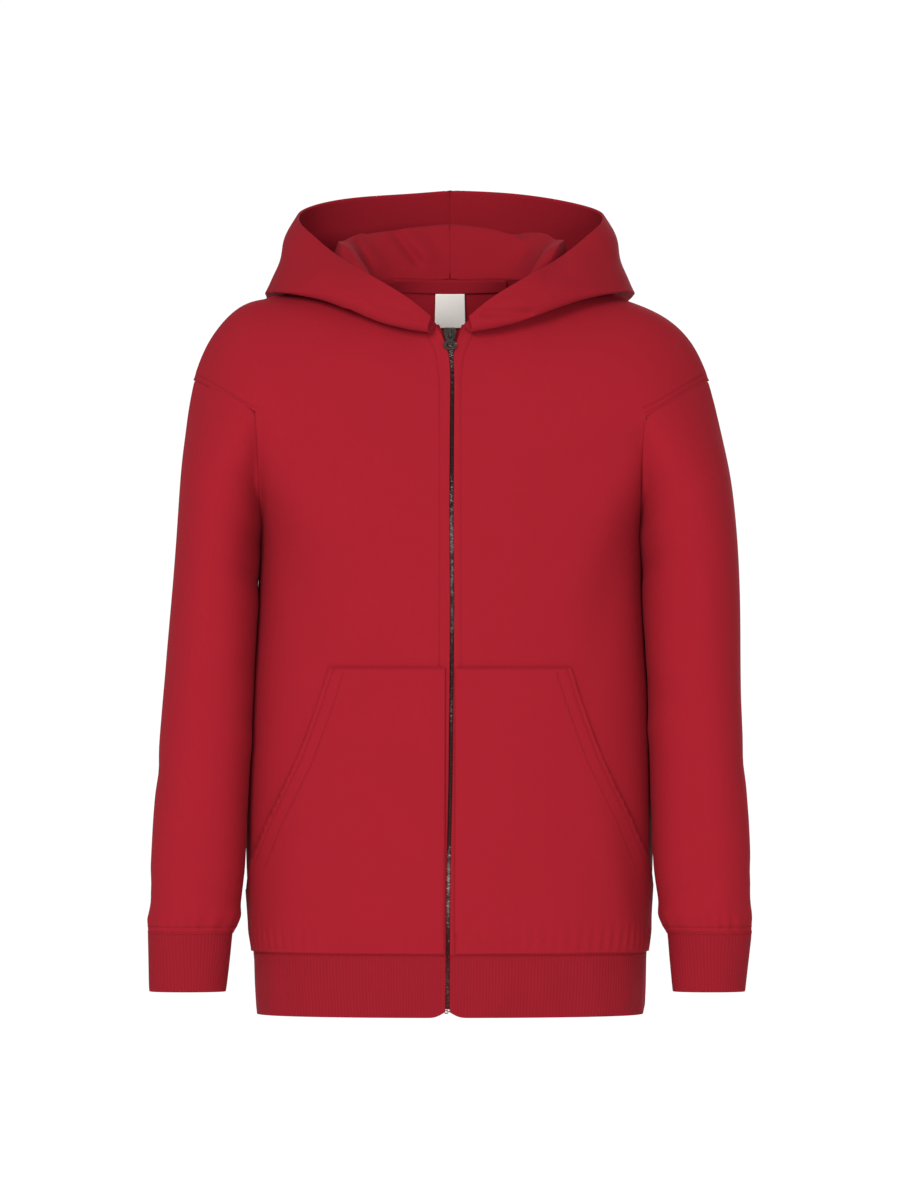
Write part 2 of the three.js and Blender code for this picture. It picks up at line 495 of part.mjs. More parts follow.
// The bridge is an arch in the Y-Z plane, extruded across the slider.
function bridgeGeometry() {
  const foot = -0.4;
  const arch = new THREE.Shape([[-BRIDGE.halfLength, foot], [BRIDGE.halfLength, foot], [BRIDGE.halfLength, 1.9],
    [BRIDGE.halfLength - 1.2, BRIDGE.height], [-BRIDGE.halfLength + 1.2, BRIDGE.height],
    [-BRIDGE.halfLength, 1.9]].map(([z, y]) => new THREE.Vector2(z, y)));
  arch.holes.push(new THREE.Path([[-BRIDGE.window, 0], [-BRIDGE.window, BRIDGE.clear],
    [BRIDGE.window, BRIDGE.clear], [BRIDGE.window, 0]].map(([z, y]) => new THREE.Vector2(z, y))));
  const geometry = new THREE.ExtrudeGeometry(arch, { depth: 2 * BRIDGE.half, bevelEnabled: false });
  // shape x -> Z, shape y -> -Y, depth -> X
  geometry.applyMatrix4(new THREE.Matrix4().makeBasis(vec([0, 0, 1]), vec([0, -1, 0]), vec([1, 0, 0])));
  return geometry.translate(-BRIDGE.half, -SLIDER.front, 0);
}

function ovalOutline(halfWidth, top, bottom, count) {
  const middle = (top + bottom) / 2;
  const reach = (top - bottom) / 2;
  return steps(count).slice(0, -1).map((share) => {
    const angle = share * 2 * Math.PI;
    return [halfWidth * Math.cos(angle), middle + reach * Math.sin(angle)];
  });
}

const edgeHigh = frontEdge(SLIDER_Z + 9);
const edgeLow = frontEdge(SLIDER_Z - 9);
const sliderTilt = Math.atan2(edgeHigh.y - edgeLow.y, edgeHigh.z - edgeLow.z);
const zipHead = new THREE.Group();
zipHead.position.set(0, frontEdge(SLIDER_Z).y, SLIDER_Z);
zipHead.rotation.x = -sliderTilt;
root.add(zipHead);

const slider = toSolid(plateXZ(sliderOutline, -SLIDER.front, -SLIDER.front + SLIDER.plate))
  .add(toSolid(plateXZ(sliderOutline, SLIDER.back - SLIDER.plate, SLIDER.back)))
  .add(toSolid(plateXZ(coreOutline, -SLIDER.front + SLIDER.plate / 2, SLIDER.back - SLIDER.plate / 2)))
  .add(toSolid(bridgeGeometry()));
const sliderMesh = new THREE.Mesh(fromSolid(slider), finish(COLOURS.metal, 0.85));
sliderMesh.name = 'zip_slider';
zipHead.add(sliderMesh);

// Pull tab: a bar under the bridge, two arms beside it and an oval ring below, turning about the bar.
function pullGeometry() {
  const middleY = -SLIDER.front - BRIDGE.clear / 2;
  const front = middleY - PULL.thick / 2;
  const back = middleY + PULL.thick / 2;
  const frame = [[-PULL.armHalf, PULL.bar / 2], [PULL.armHalf, PULL.bar / 2], [PULL.armHalf, -PULL.neckEnd - 1],
    [-PULL.armHalf, -PULL.neckEnd - 1]];
  const slot = [[-PULL.slotHalf, -PULL.bar / 2], [PULL.slotHalf, -PULL.bar / 2], [PULL.slotHalf, -PULL.slotEnd],
    [-PULL.slotHalf, -PULL.slotEnd]];
  return fromSolid(toSolid(plateXZ(frame, front, back))
    .add(toSolid(plateXZ(ovalOutline(PULL.ringHalf, -PULL.neckEnd, -PULL.ringEnd, 20), front, back)))
    .subtract(toSolid(plateXZ(ovalOutline(PULL.holeHalf, -PULL.neckEnd - 2, -PULL.ringEnd + 2, 16), front - 1, back + 1)))
    .subtract(toSolid(plateXZ(slot, front - 1, back + 1))));
}
const pullMesh = new THREE.Mesh(pullGeometry(), finish(COLOURS.metal, 0.85));
pullMesh.name = 'zip_pull';
zipHead.add(pullMesh);

// ---------------------------------------------------------------- back neck tape and blank label
// Both lie on the back's own points, inside it.
const BACK_COLUMN = 1 / 9;
function backPatch(levels, shares) {
  return levels.map((v) => shares.map((u) => {
    const point = bodyPoint(Math.abs(u), v, 'back');
    return u < 0 ? mirror(point) : point;
  }));
}
const neckTapeGrid = backPatch([0.965, 1], [2, 1, 0, -1, -2].map((k) => k * BACK_COLUMN));
const NECK_TAPE_IN = JERSEY + 0.4;
addMesh('neck_tape', cloth(neckTapeGrid, -NECK_TAPE_IN, -NECK_TAPE_IN - TAPE), finish(COLOURS.rib));
const LABEL_IN = NECK_TAPE_IN + TAPE + 0.4;
const LABEL_WALL = 0.6;
const LABEL_HALF_SHARE = 0.054;
const labelGrid = backPatch([0.886, 0.925, 0.965], [LABEL_HALF_SHARE, 0, -LABEL_HALF_SHARE]);
addMesh('neck_label', cloth(labelGrid, -LABEL_IN, -LABEL_IN - LABEL_WALL), finish(COLOURS.label));

export default root;
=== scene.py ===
"""Child's zip hoodie: cloth pieces, seams, zip and studio, built as an add-on and run as a script."""
import json
from math import atan2, cos, pi, radians, sin, sqrt

import bmesh
import bpy
import numpy as np
from bpy.props import FloatProperty, FloatVectorProperty, PointerProperty
from mathutils import Matrix, Vector
from mathutils.bvhtree import BVHTree

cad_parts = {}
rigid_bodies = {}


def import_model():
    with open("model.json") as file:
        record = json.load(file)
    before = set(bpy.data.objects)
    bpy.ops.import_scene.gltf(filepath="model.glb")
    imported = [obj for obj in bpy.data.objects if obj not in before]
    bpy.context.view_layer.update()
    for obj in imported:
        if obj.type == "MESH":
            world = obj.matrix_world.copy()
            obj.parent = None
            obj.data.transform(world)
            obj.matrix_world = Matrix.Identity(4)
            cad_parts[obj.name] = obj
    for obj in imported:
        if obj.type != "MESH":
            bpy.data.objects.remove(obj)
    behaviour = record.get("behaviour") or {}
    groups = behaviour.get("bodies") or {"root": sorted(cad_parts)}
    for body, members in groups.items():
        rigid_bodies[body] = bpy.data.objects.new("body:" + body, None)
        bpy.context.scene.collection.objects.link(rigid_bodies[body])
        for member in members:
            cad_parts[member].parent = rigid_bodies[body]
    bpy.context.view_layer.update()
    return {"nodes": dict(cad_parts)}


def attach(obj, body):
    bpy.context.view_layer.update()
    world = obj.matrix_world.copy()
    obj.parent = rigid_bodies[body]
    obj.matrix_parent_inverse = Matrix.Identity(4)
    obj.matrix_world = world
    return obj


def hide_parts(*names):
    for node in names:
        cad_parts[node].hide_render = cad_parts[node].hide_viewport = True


bl_info = {
    "name": "Kids Zip Hoodie",
    "version": (1, 0, 0),
    "blender": (4, 5, 0),
    "location": "View3D > Sidebar > Hoodie",
    "description": "Builds a child's zip hoodie of fleece and rib, with its seams, zip and studio",
    "category": "Add Mesh",
}

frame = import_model()
NODES = frame["nodes"]
MM = 0.001


# ------------------------------------------------------------------ sizes and colours
def size_value(name, description, default):
    return FloatProperty(
        name=name, description=description, default=default, subtype="DISTANCE", unit="LENGTH")


def colour_value(name, description, default):
    return FloatVectorProperty(name=name, description=description, default=default, size=3, subtype="COLOR")


class HoodieCloth(bpy.types.PropertyGroup):
    fleece: colour_value("Fleece", "Colour of the body cloth", (0.240, 0.0078, 0.0152))
    # The fleece shade colour serves both the random mottling of the nap and the painted shade along seams and
    # stitching.
    fleece_shade: colour_value("Fleece shade", "Colour in the hollows of the nap", (0.203, 0.0060, 0.0122))
    rib: colour_value("Rib", "Colour of the rib knit", (0.213, 0.0070, 0.0139))
    thread: colour_value("Thread", "Colour of the sewing thread", (0.218, 0.0072, 0.0138))
    label: colour_value("Label", "Colour of the blank neck label", (0.80, 0.76, 0.71))
    rib_pitch: size_value("Rib pitch", "Distance between two ribs", 0.0026)
    knit_pitch: size_value("Knit pitch", "Distance between two columns of the jersey face", 0.0011)


class HoodieSewing(bpy.types.PropertyGroup):
    stitch: size_value("Stitch", "Length of one stitch", 0.0030)
    thread_width: size_value("Thread width", "Width of the sewing thread", 0.00045)
    twin: size_value("Twin needle", "Distance between the two rows of a twin-needle seam", 0.0045)
    edge: size_value("Edge distance", "Distance of the first row from the cloth's edge", 0.0012)
    zip_row: size_value("Zip row", "Distance of the zip's topstitching from the centre", 0.009)


class HoodieZip(bpy.types.PropertyGroup):
    pitch: size_value("Tooth pitch", "Distance between two teeth of one row", 0.0024)
    metal: colour_value("Metal", "Dark antique finish of slider and pull", (0.034, 0.028, 0.024))
    # Bright metal of the worn patches, which also serve as painted glints on the zip.
    worn_and_glinting_metal: colour_value("Worn metal", "Bright metal where the finish has rubbed off", (0.62, 0.60, 0.56))


class HoodieStudio(bpy.types.PropertyGroup):
    distance: size_value("Camera distance", "Camera to the middle of the garment", 8.0)
    view_height: size_value("View height", "Height that the picture takes in at the garment", 1.02)
    middle: size_value("Middle", "Height of the camera and of the picture's middle", -0.2465)


# ------------------------------------------------------------------ reading lines on the cloth
def smooth(value, low, high):
    """0 below the low value, 1 above the high one, and an even slope between."""
    share = np.clip((value - low) / (high - low), 0, 1)
    return share * share * (3 - 2 * share)


def ridge(value, middle, width):
    """1 at the middle, fading softly to both sides."""
    return np.exp(-((value - middle) / width) ** 2)


def unit(vectors):
    return vectors / np.maximum(np.linalg.norm(vectors, axis=1), 1e-9)[:, None]


def distance_to_line(points, line):
    """Distance of each point from a line of corners, in metres."""
    best = np.full(len(points), 9.0)
    for start, end in zip(line[:-1], line[1:]):
        start = np.asarray(start)
        run = np.asarray(end) - start
        share = np.clip(((points - start) @ run) / max(run @ run, 1e-12), 0, 1)
        gap = np.linalg.norm(points - start - share[:, None] * run, axis=1)
        best = np.minimum(best, gap)
    return best


def tree_of(obj):
    bm = bmesh.new()
    bm.from_mesh(obj.data)
    tree = BVHTree.FromBMesh(bm)
    bm.free()
    return tree


def spaced(line, step):
    """Points at an even step along a line of corners."""
    line = [Vector(p) for p in line]
    lengths = [0.0]
    for start, end in zip(line[:-1], line[1:]):
        lengths.append(lengths[-1] + (end - start).length)
    count = max(int(lengths[-1] / step), 1)
    found = []
    for i in range(count + 1):
        reach = lengths[-1] * i / count
        k = int(np.searchsorted(lengths, reach, side="right")) - 1
        k = min(max(k, 0), len(line) - 2)
        share = (reach - lengths[k]) / max(lengths[k + 1] - lengths[k], 1e-9)
        found.append(line[k].lerp(line[k + 1], share))
    return found


def drop_on(tree, points, direction):
    """Points thrown along a direction on to a piece; those that miss are left out."""
    start = 0.6
    ray = Vector(direction).normalized()
    found = []
    for x, y, z in points:
        hit = tree.ray_cast(Vector((x, y, z)) - ray * start, ray)
        if hit[0] is not None:
            found.append(hit[0])
    return found


def facing_lines(tree, corners, direction=(0, 1, 0)):
    """A line given by X and Z corners in millimetres, laid on a piece from the front or the back."""
    step = 0.004
    flat = [Vector((x * MM, 0, z * MM)) for x, z in corners]
    return drop_on(tree, spaced(flat, step), direction)


# ------------------------------------------------------------------ how the cloth hangs
# Each fold: where it starts and ends (X, Z in millimetres), its width, its depth (+ ridge, - trough),
# and the side it lies on: -1 the front, 1 the back.
BODY_FOLDS = [
    ((-150, -95), (-60, -150), 26, -2.4, -1),
    ((-158, -120), (-85, -215), 30, 1.8, -1),
    ((-150, -170), (-110, -300), 24, -1.5, -1),
    ((152, -110), (75, -160), 30, -2.6, -1),
    ((158, -130), (95, -250), 28, 1.8, -1),
    ((148, -190), (118, -320), 24, -1.6, -1),
    ((-38, -60), (-95, -38), 24, 1.3, -1),
    ((45, -62), (120, -36), 24, 1.4, -1),
    ((-12, -120), (-20, -420), 22, 1.5, -1),
    ((14, -100), (22, -300), 20, 1.3, -1),
    ((-150, -420), (-160, -535), 22, -2.0, -1),
    ((152, -440), (166, -538), 20, -2.6, -1),
    ((118, -400), (150, -520), 24, 1.6, -1),
    ((60, -470), (70, -540), 26, -1.0, -1),
    ((-70, -480), (-62, -541), 26, -1.0, -1),
    ((-120, -500), (-118, -542), 18, -1.0, -1),
    ((148, -100), (60, -180), 34, -2.6, 1),
    ((-150, -100), (-66, -175), 32, -2.6, 1),
    ((150, -150), (90, -290), 30, 2.0, 1),
    ((-152, -150), (-100, -310), 30, 2.0, 1),
    ((20, -150), (48, -400), 60, 2.2, 1),
    ((-52, -170), (-70, -420), 46, -1.8, 1),
    ((80, -300), (96, -520), 34, -1.6, 1),
    ((-110, -380), (-126, -535), 30, 1.6, 1),
    ((40, -480), (44, -541), 24, -1.2, 1),
    ((-20, -470), (-28, -541), 24, 1.1, 1),
    ((120, -460), (128, -541), 22, -1.2, 1),
]
# Folds of an arm: height, turn round the arm (degrees from the inner side, through the front), slope,
# width and depth in millimetres.
ARM_FOLDS = {
    "left": [
        (-150, 60, 0.5, 16, -2.6), (-185, 40, 0.7, 15, 2.2), (-215, 30, 0.6, 16, -2.0),
        (-330, 60, -0.5, 20, -1.4), (-372, 210, 0.6, 22, -1.6), (-352, 20, 0.4, 15, 1.4),
        (-420, 80, 0.4, 18, 1.2), (-468, 130, -0.3, 14, -1.5),
        (-492, 60, 0.3, 11, -1.9), (-505, 250, -0.3, 12, -1.7), (-516, 150, 0.2, 8, 1.2),
        (-300, 280, 0.5, 24, -1.6), (-240, 290, -0.5, 22, 1.6), (-175, 300, -0.7, 18, -2.4),
        (-445, 300, 0.4, 18, -1.5)],
    "right": [
        (-140, 62, 0.6, 17, -2.4), (-176, 44, 0.6, 16, 2.0), (-225, 26, 0.5, 18, -1.8),
        (-315, 70, -0.4, 22, -1.3),
        (-385, 200, 0.5, 20, -1.6), (-360, 34, 0.5, 16, 1.3), (-432, 70, 0.3, 16, 1.2),
        (-474, 120, -0.4, 13, -1.6), (-497, 48, 0.3, 11, -1.8), (-508, 240, -0.2, 11, -1.7),
        (-517, 160, 0.2, 8, 1.2), (-292, 270, 0.4, 24, -1.5), (-236, 300, -0.4, 20, 1.6),
        (-168, 310, -0.6, 18, -2.2), (-452, 290, 0.5, 16, -1.4)],
}
# Tucks of the lowered hood: start and end (X, Y, Z), width, depth.
HOOD_TUCKS = [
    ((70, 38, 64), (86, 24, 60), 16, 4.0), ((-66, 96, 40), (-40, 100, -30), 22, -2.4),
    ((30, 100, 70), (64, 112, 20), 22, -2.0),
    ((-120, 60, 40), (-136, 92, 0), 20, 2.4), ((118, 70, 60), (146, 60, 10), 20, -2.2),
    ((-134, 34, 44), (-152, 10, 20), 14, -2.0), ((-40, 134, 60), (-60, 132, -50), 26, 2.2),
    ((46, 136, 50), (30, 134, -60), 26, -2.0), ((0, 130, 90), (4, 138, -70), 30, 1.2),
    ((100, -46, 26), (132, -24, 22), 10, -1.8), ((-104, -44, 24), (-130, -22, 24), 12, 1.6),
    ((-84, -52, 18), (-66, -58, 6), 8, -1.4), ((84, -54, 16), (60, -62, 4), 9, 1.4),
]
NECK_SEAM = [(12, -63, -12), (29, -60, -5), (48, -48, 6), (64, -28, 18), (72, -6, 25), (70, 14, 27),
             (58, 30, 28), (34, 45, 28), (0, 52, 28)]
# Tucks on the face of the lowered hood, as seen from the front: start and end (X, Z), width, depth.
CREST_TUCKS = [
    ((-47, 68), (-28, 43), 6, -4.6), ((-38, 70), (-17, 46), 8, 2.0), ((-93, 62), (-86, 45), 6, -3.6),
    ((-80, 58), (-66, 33), 6, -3.8), ((-70, 52), (-57, 36), 8, 1.8), ((64, 48), (44, 27), 8, -4.2),
    ((84, 54), (62, 34), 9, 2.2), ((98, 44), (82, 28), 7, -2.6), ((12, 74), (30, 50), 12, -1.8),
    ((-16, 66), (-4, 44), 9, -1.6), ((30, -5), (66, -5), 6, -3.0), ((32, 3), (64, 5), 7, 1.2),
    ((-62, 4), (-34, -6), 7, -1.6),
]
# Reach of an arm's cloth towards the body: height, on the inner side, on the outer side, in millimetres.
ARM_LEAN = [(-528, 0, 0), (-513, 3.5, 3), (-493, 3.5, 2), (-474, 4.5, 1), (-434, 4, 0), (-334, 2.8, 0),
            (-200, 1.6, 0), (-120, 0, 0)]
# Middle of an arm: height, X and Y, in metres.
ARM_AXIS = [(-0.60, 0.2205, -0.0285), (-0.528, 0.2188, -0.028), (-0.43, 0.213, -0.026),
            (-0.33, 0.207, -0.021), (-0.25, 0.204, -0.013), (-0.182, 0.201, -0.001), (-0.05, 0.190, 0.0)]
ARM_HALF_WIDTH = 0.038
ARM_HALF_DEPTH = 0.052
# The closed zip wanders a little from the centre: height and sideways place in millimetres.
ZIP_WANDER = [(-640, -2.6), (-560, -2.0), (-470, -1.2), (-400, 0.4), (-330, 1.2), (-250, 1.9), (-170, 1.2),
              (-110, 1.6), (-60, 2.0), (-30, 0.6), (20, 0.0)]


def wander(points):
    """Carries the middle of the fronts sideways with the zip, and lifts the wearer's right shoulder."""
    shoulder_x, shoulder_lift = -0.176, 0.0065
    heights, places = np.array(ZIP_WANDER).T
    shift = np.interp(points[:, 2], heights * MM, places * MM)
    near = ridge(points[:, 0], 0, 0.045) * smooth(-points[:, 1], 0.0, 0.03)
    moved = points.copy()
    moved[:, 0] += shift * near
    lifted = ridge(points[:, 0], shoulder_x, 0.026) * smooth(points[:, 2], -0.125, -0.070)
    moved[:, 2] += shoulder_lift * lifted
    return moved


def body_outward(points):
    """Direction out of the body at each point, the same for both faces of the cloth."""
    half_width, half_depth, shoulder_height = 0.16, 0.092, 0.10
    shoulder = np.clip(points[:, 2] + shoulder_height, 0, 2 * shoulder_height)
    return unit(np.stack([points[:, 0] / half_width ** 2, points[:, 1] / half_depth ** 2,
                          shoulder / shoulder_height ** 2], axis=1))


def hang_body(points):
    """Soft folds and slight unevenness of the fronts and the back."""
    x, y, z = points.T
    flat = points[:, [0, 2]] / MM
    depth = np.zeros(len(points))
    for start, end, width, deep, side in BODY_FOLDS:
        start = np.array(start, dtype=float)
        run = np.array(end, dtype=float) - start
        inside_run = np.clip(((flat - start) @ run) / (run @ run), 0, 1)
        gap = np.linalg.norm(flat - start - inside_run[:, None] * run, axis=1)
        fade = 0.55 + 0.45 * np.sin(pi * inside_run)
        facing = smooth(side * y, 0.0, 0.035)
        depth += deep * MM * fade * ridge(gap, 0, width / 1.6) * facing
    slow = (0.9 * np.sin(31 * x + 9 * z + 1.3 * np.sign(y)) + 0.8 * np.sin(13 * z - 24 * x + 2.1)
            + 0.5 * np.sin(43 * z + 17 * x * np.sign(y)))
    above_hem = smooth(z, -0.546, -0.515)
    under_arm = 1 - 0.85 * smooth(z, -0.13, -0.085) * smooth(np.abs(x), 0.12, 0.16)
    folds = (depth + slow * 0.0007) * (0.15 + 0.85 * above_hem) * under_arm
    puff = 0.0007 * ridge(z, -0.528, 0.012) * smooth(z, -0.546, -0.53)
    turn = np.arctan2(y * 1.7, x)
    gathers = 0.0006 * np.sin(92 * turn + 3 * np.sin(19 * x)) * ridge(z, -0.535, 0.012)
    return points + body_outward(points) * (folds + puff + gathers)[:, None]


def arm_axis(z):
    """Middle of an arm at a height: X and Y in metres."""
    heights, across, ahead = np.array(ARM_AXIS).T
    return np.interp(z, heights, across), np.interp(z, heights, ahead)


def hang_arm(points, side):
    """Cross folds at the underarm, elbow and wrist of one arm, and its lean towards the body."""
    sign = 1 if side == "left" else -1
    middle_x, middle_y = arm_axis(points[:, 2])
    dx = sign * points[:, 0] - middle_x
    dy = points[:, 1] - middle_y
    level = np.zeros(len(points))
    out = unit(np.stack([sign * dx / ARM_HALF_WIDTH ** 2, dy / ARM_HALF_DEPTH ** 2, level], axis=1))
    turn = np.degrees(np.arctan2(-dy / ARM_HALF_DEPTH, -dx / ARM_HALF_WIDTH)) % 360
    z = points[:, 2] / MM
    depth = np.zeros(len(points))
    for height, place, slope, width, deep in ARM_FOLDS[side]:
        off = (turn - place + 180) % 360 - 180
        gap = z - height - slope * off * 0.55
        depth += deep * MM * ridge(gap, 0, width / 1.5) * ridge(off, 0, 62)
    turned = np.radians(turn)
    slow = 0.0008 * np.sin(0.021 * z * (1.1 if side == "left" else 0.9) + turned * 2)
    head = 1 - smooth(z, -115, -75)
    puff = 0.0010 * ridge(z, -514, 10)
    gathers = 0.0006 * np.sin(turned * 15 + 1.5 * np.sin(turned * 3)) * ridge(z, -521, 9)
    total = (depth + slow) * head + (puff + gathers) * smooth(z, -529, -522) - 0.0010 * smooth(-z, 505, 528)
    moved = points + out * total[:, None]
    heights, inner, outer = np.array(ARM_LEAN).T
    lean = np.interp(z, heights, inner) * smooth(-dx, -0.012, 0.030)
    lean += np.interp(z, heights, outer) * smooth(dx, 0.0, 0.030)
    moved[:, 0] -= sign * lean * MM
    return moved


def hang_rib(points):
    """The hem band is nearly even, a little wavy below the seam."""
    angle = np.arctan2(points[:, 1] * 1.7, points[:, 0])
    low = smooth(-points[:, 2], 0.55, 0.60)
    wave = 0.0009 * np.sin(9 * angle + 0.7) + 0.0005 * np.sin(23 * angle)
    moved = points + body_outward(points) * (wave * (0.3 + 0.7 * low))[:, None]
    moved[:, 2] += 0.0012 * np.sin(5 * angle + 1.1) * low
    return moved


def hang_cuff(points, side):
    """A cuff is even at its seam and a little wavy at its lower edge."""
    middle_x, middle_y = arm_axis(points[:, 2])
    sign = 1 if side == "left" else -1
    turn = np.arctan2(points[:, 1] - middle_y, sign * points[:, 0] - middle_x)
    low = smooth(-points[:, 2], 0.535, 0.578)
    moved = points.copy()
    moved[:, 0] += 0.0009 * np.sin(3 * turn) * low
    moved[:, 2] += 0.0012 * np.sin(2 * turn + 0.6) * low
    return moved


def tucks(points, table):
    """Summed depth of a table of tucks at each point, in metres."""
    depth = np.zeros(len(points))
    for start, end, width, deep in table:
        gap = distance_to_line(points, [np.array(start) * MM, np.array(end) * MM]) / MM
        depth += deep * MM * ridge(gap, 0, width / 1.4)
    return depth


def hang_hood(points):
    """Tucks and rolls of the lowered hood, along one slow field so that both faces move together."""
    x, y, z = points.T
    middle = np.array([0.0, 0.040, 0.025])
    slow = 0.0011 * np.sin(38 * x + 21 * z + 1.0) * np.sin(27 * y + 16 * z)
    mirrored = np.stack([np.abs(x), y, z], axis=1)
    free = smooth(distance_to_line(mirrored, [np.array(p) * MM for p in NECK_SEAM]), 0.002, 0.016)
    moved = points + unit(points - middle) * ((tucks(points, HOOD_TUCKS) + slow) * free)[:, None]
    flat = points * np.array([1.0, 0.0, 1.0])
    on_face = [((x1, 0, z1), (x2, 0, z2), width, deep) for (x1, z1), (x2, z2), width, deep in CREST_TUCKS]
    moved[:, 1] -= tucks(flat, on_face) * (1 - smooth(y, 0.070, 0.092)) * free
    flank = 0.0075 * ridge(z, 0.009, 0.010) - 0.0090 * ridge(z, 0.042, 0.018)
    moved[:, 0] += np.sign(x) * flank * smooth(np.abs(x), 0.105, 0.140)
    return moved


def hang(obj, shape, *rest):
    """Lets a piece hang by one of the shapes above; its sewn rims stay where the next piece meets them."""
    points = points_of(obj)
    free = 1 - smooth(read_note(obj, "rim"), 0.75, 1.0)
    place_points(obj, wander(points + (shape(points, *rest) - points) * free[:, None]))


# ------------------------------------------------------------------ making pieces
def link(obj):
    bpy.context.scene.collection.objects.link(obj)
    return obj


def object_from(bm, name):
    mesh = bpy.data.meshes.new(name)
    bm.to_mesh(mesh)
    bm.free()
    return link(bpy.data.objects.new(name, mesh))


def settle(obj):
    """Bakes an object's modifiers into its mesh."""
    depsgraph = bpy.context.evaluated_depsgraph_get()
    baked = bpy.data.meshes.new_from_object(obj.evaluated_get(depsgraph))
    obj.modifiers.clear()
    obj.data = baked
    for polygon in baked.polygons:
        polygon.use_smooth = True
    return obj


def sewn_copy(node, name, rim=0.75):
    """A smooth, fine copy of a plain cloth solid, with firm rims."""
    levels = 3
    bm = bmesh.new()
    bm.from_mesh(NODES[node].data)
    bmesh.ops.remove_doubles(bm, verts=bm.verts, dist=0.00002)
    bmesh.ops.join_triangles(
        bm, faces=bm.faces, angle_face_threshold=radians(35), angle_shape_threshold=radians(80))
    firm = bm.edges.layers.float.new("crease_edge")
    rims = bm.verts.layers.float.new("rim")
    for edge in bm.edges:
        if len(edge.link_faces) == 2 and edge.calc_face_angle(0) > radians(55):
            edge[firm] = rim
            for vert in edge.verts:
                vert[rims] = 1.0
    held = bm.verts.layers.float.new("crease_vert")
    for vert in bm.verts:
        if sum(edge[firm] > 0 for edge in vert.link_edges) > 2:
            vert[held] = 1.0
    obj = object_from(bm, name)
    finer = obj.modifiers.new("finer", "SUBSURF")
    finer.levels = levels
    finer.render_levels = levels
    return settle(obj)


def points_of(obj):
    count = len(obj.data.vertices)
    flat = np.empty(count * 3)
    obj.data.vertices.foreach_get("co", flat)
    return flat.reshape(count, 3)


def place_points(obj, points):
    obj.data.vertices.foreach_set("co", points.ravel())
    obj.data.update()


def note(obj, name, values):
    """Stores one number for each point, for the materials to read."""
    layer = obj.data.attributes.new(name, "FLOAT", "POINT")
    layer.data.foreach_set("value", np.asarray(values, dtype=np.float32))


# Stores each point's distance to the nearest row of stitching as the seam note; the fleece presses the cloth
# in there and darkens it as painted shade.
def note_seams(obj, lines):
    points = points_of(obj)
    best = np.full(len(points), 1.0)
    for line in lines:
        best = np.minimum(best, distance_to_line(points, [np.array(p) for p in line]))
    note(obj, "seam", best)


def dress(obj, node, body, material):
    obj.data.materials.clear()
    obj.data.materials.append(material)
    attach(obj, body)
    if node:
        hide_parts(node)
    return obj


STITCHES = []          # every row of stitching: its points and the outward direction at each


def sew(tree, line):
    """Keeps a row of stitching for the thread, with the cloth's own direction at each stitch."""
    for point in spaced(line, bpy.context.scene.hoodie_sewing.stitch):
        near, normal, _, _ = tree.find_nearest(point)
        if near is not None:
            STITCHES.append([near, normal])
    STITCHES.append(None)


SEWN_TOGETHER = [("cloth_back", "rib_hem_band"), ("cloth_hood_left", "cloth_hood_right")]
for _side in ("left", "right"):
    _front, _sleeve, _hood = (f"cloth_{piece}_{_side}" for piece in ("front", "sleeve", "hood"))
    SEWN_TOGETHER += [
        (_front, "cloth_back"), (_front, _sleeve), (_front, "rib_hem_band"), ("cloth_back", _sleeve),
        (_sleeve, f"rib_cuff_{_side}"), (_hood, _front), (_hood, "cloth_back")]


def close_seams(reach=0.007):
    """Draws the rims of pieces that are sewn together towards each other, so that no light shows between."""
    names = sorted({name for pair in SEWN_TOGETHER for name in pair})
    trees = {name: tree_of(bpy.data.objects[name]) for name in names}
    boxes = {name: box_of(bpy.data.objects[name], reach) for name in names}
    moves = {name: {} for name in names}
    for pair in SEWN_TOGETHER:
        for name, other in (pair, pair[::-1]):
            points = points_of(bpy.data.objects[name])
            rims = read_note(bpy.data.objects[name], "rim")
            low, high = boxes[other]
            near_by = np.all((points > low) & (points < high), axis=1) & (rims > 0.8)
            for index in np.nonzero(near_by)[0]:
                place = Vector(points[index])
                near, _, _, gap = trees[other].find_nearest(place, reach)
                if near is None:
                    continue
                hold = min(1.0, (rims[index] - 0.8) * 10) * min(1.0, 2 * (1 - gap / reach))
                step = (near - place) * 0.5 * hold
                if step.length > moves[name].get(index, Vector((0, 0, 0))).length:
                    moves[name][index] = step
    for name, steps in moves.items():
        points = points_of(bpy.data.objects[name])
        for index, step in steps.items():
            points[index] += step
        place_points(bpy.data.objects[name], points)


def read_note(obj, name):
    values = np.empty(len(obj.data.vertices), dtype=np.float32)
    obj.data.attributes[name].data.foreach_get("value", values)
    return values


def box_of(obj, margin):
    points = points_of(obj)
    return points.min(axis=0) - margin, points.max(axis=0) + margin


# ------------------------------------------------------------------ shader groups
def new_group(name, colours, numbers):
    """A shader group with colour and number inputs and the three outputs that every finish gives."""
    group = bpy.data.node_groups.new(name, "ShaderNodeTree")
    for labels, kind in ((colours, "NodeSocketColor"), (numbers, "NodeSocketFloat")):
        for label in labels:
            group.interface.new_socket(label, in_out="INPUT", socket_type=kind)
    group.interface.new_socket("Colour", in_out="OUTPUT", socket_type="NodeSocketColor")
    for label in ("Roughness", "Height"):
        group.interface.new_socket(label, in_out="OUTPUT", socket_type="NodeSocketFloat")
    place = add(group, "ShaderNodeTexCoord").outputs["Object"]
    return group, group.nodes.new("NodeGroupInput").outputs, place


def put_out(group, colour, roughness, height):
    result = group.nodes.new("NodeGroupOutput")
    for label, value in (("Colour", colour), ("Roughness", roughness), ("Height", height)):
        group.links.new(value, result.inputs[label])
    return group


def add(tree, kind, values=None, **settings):
    node = tree.nodes.new(kind)
    for key, value in settings.items():
        setattr(node, key, value)
    for key, value in (values or {}).items():
        node.inputs[key].default_value = value
    return node


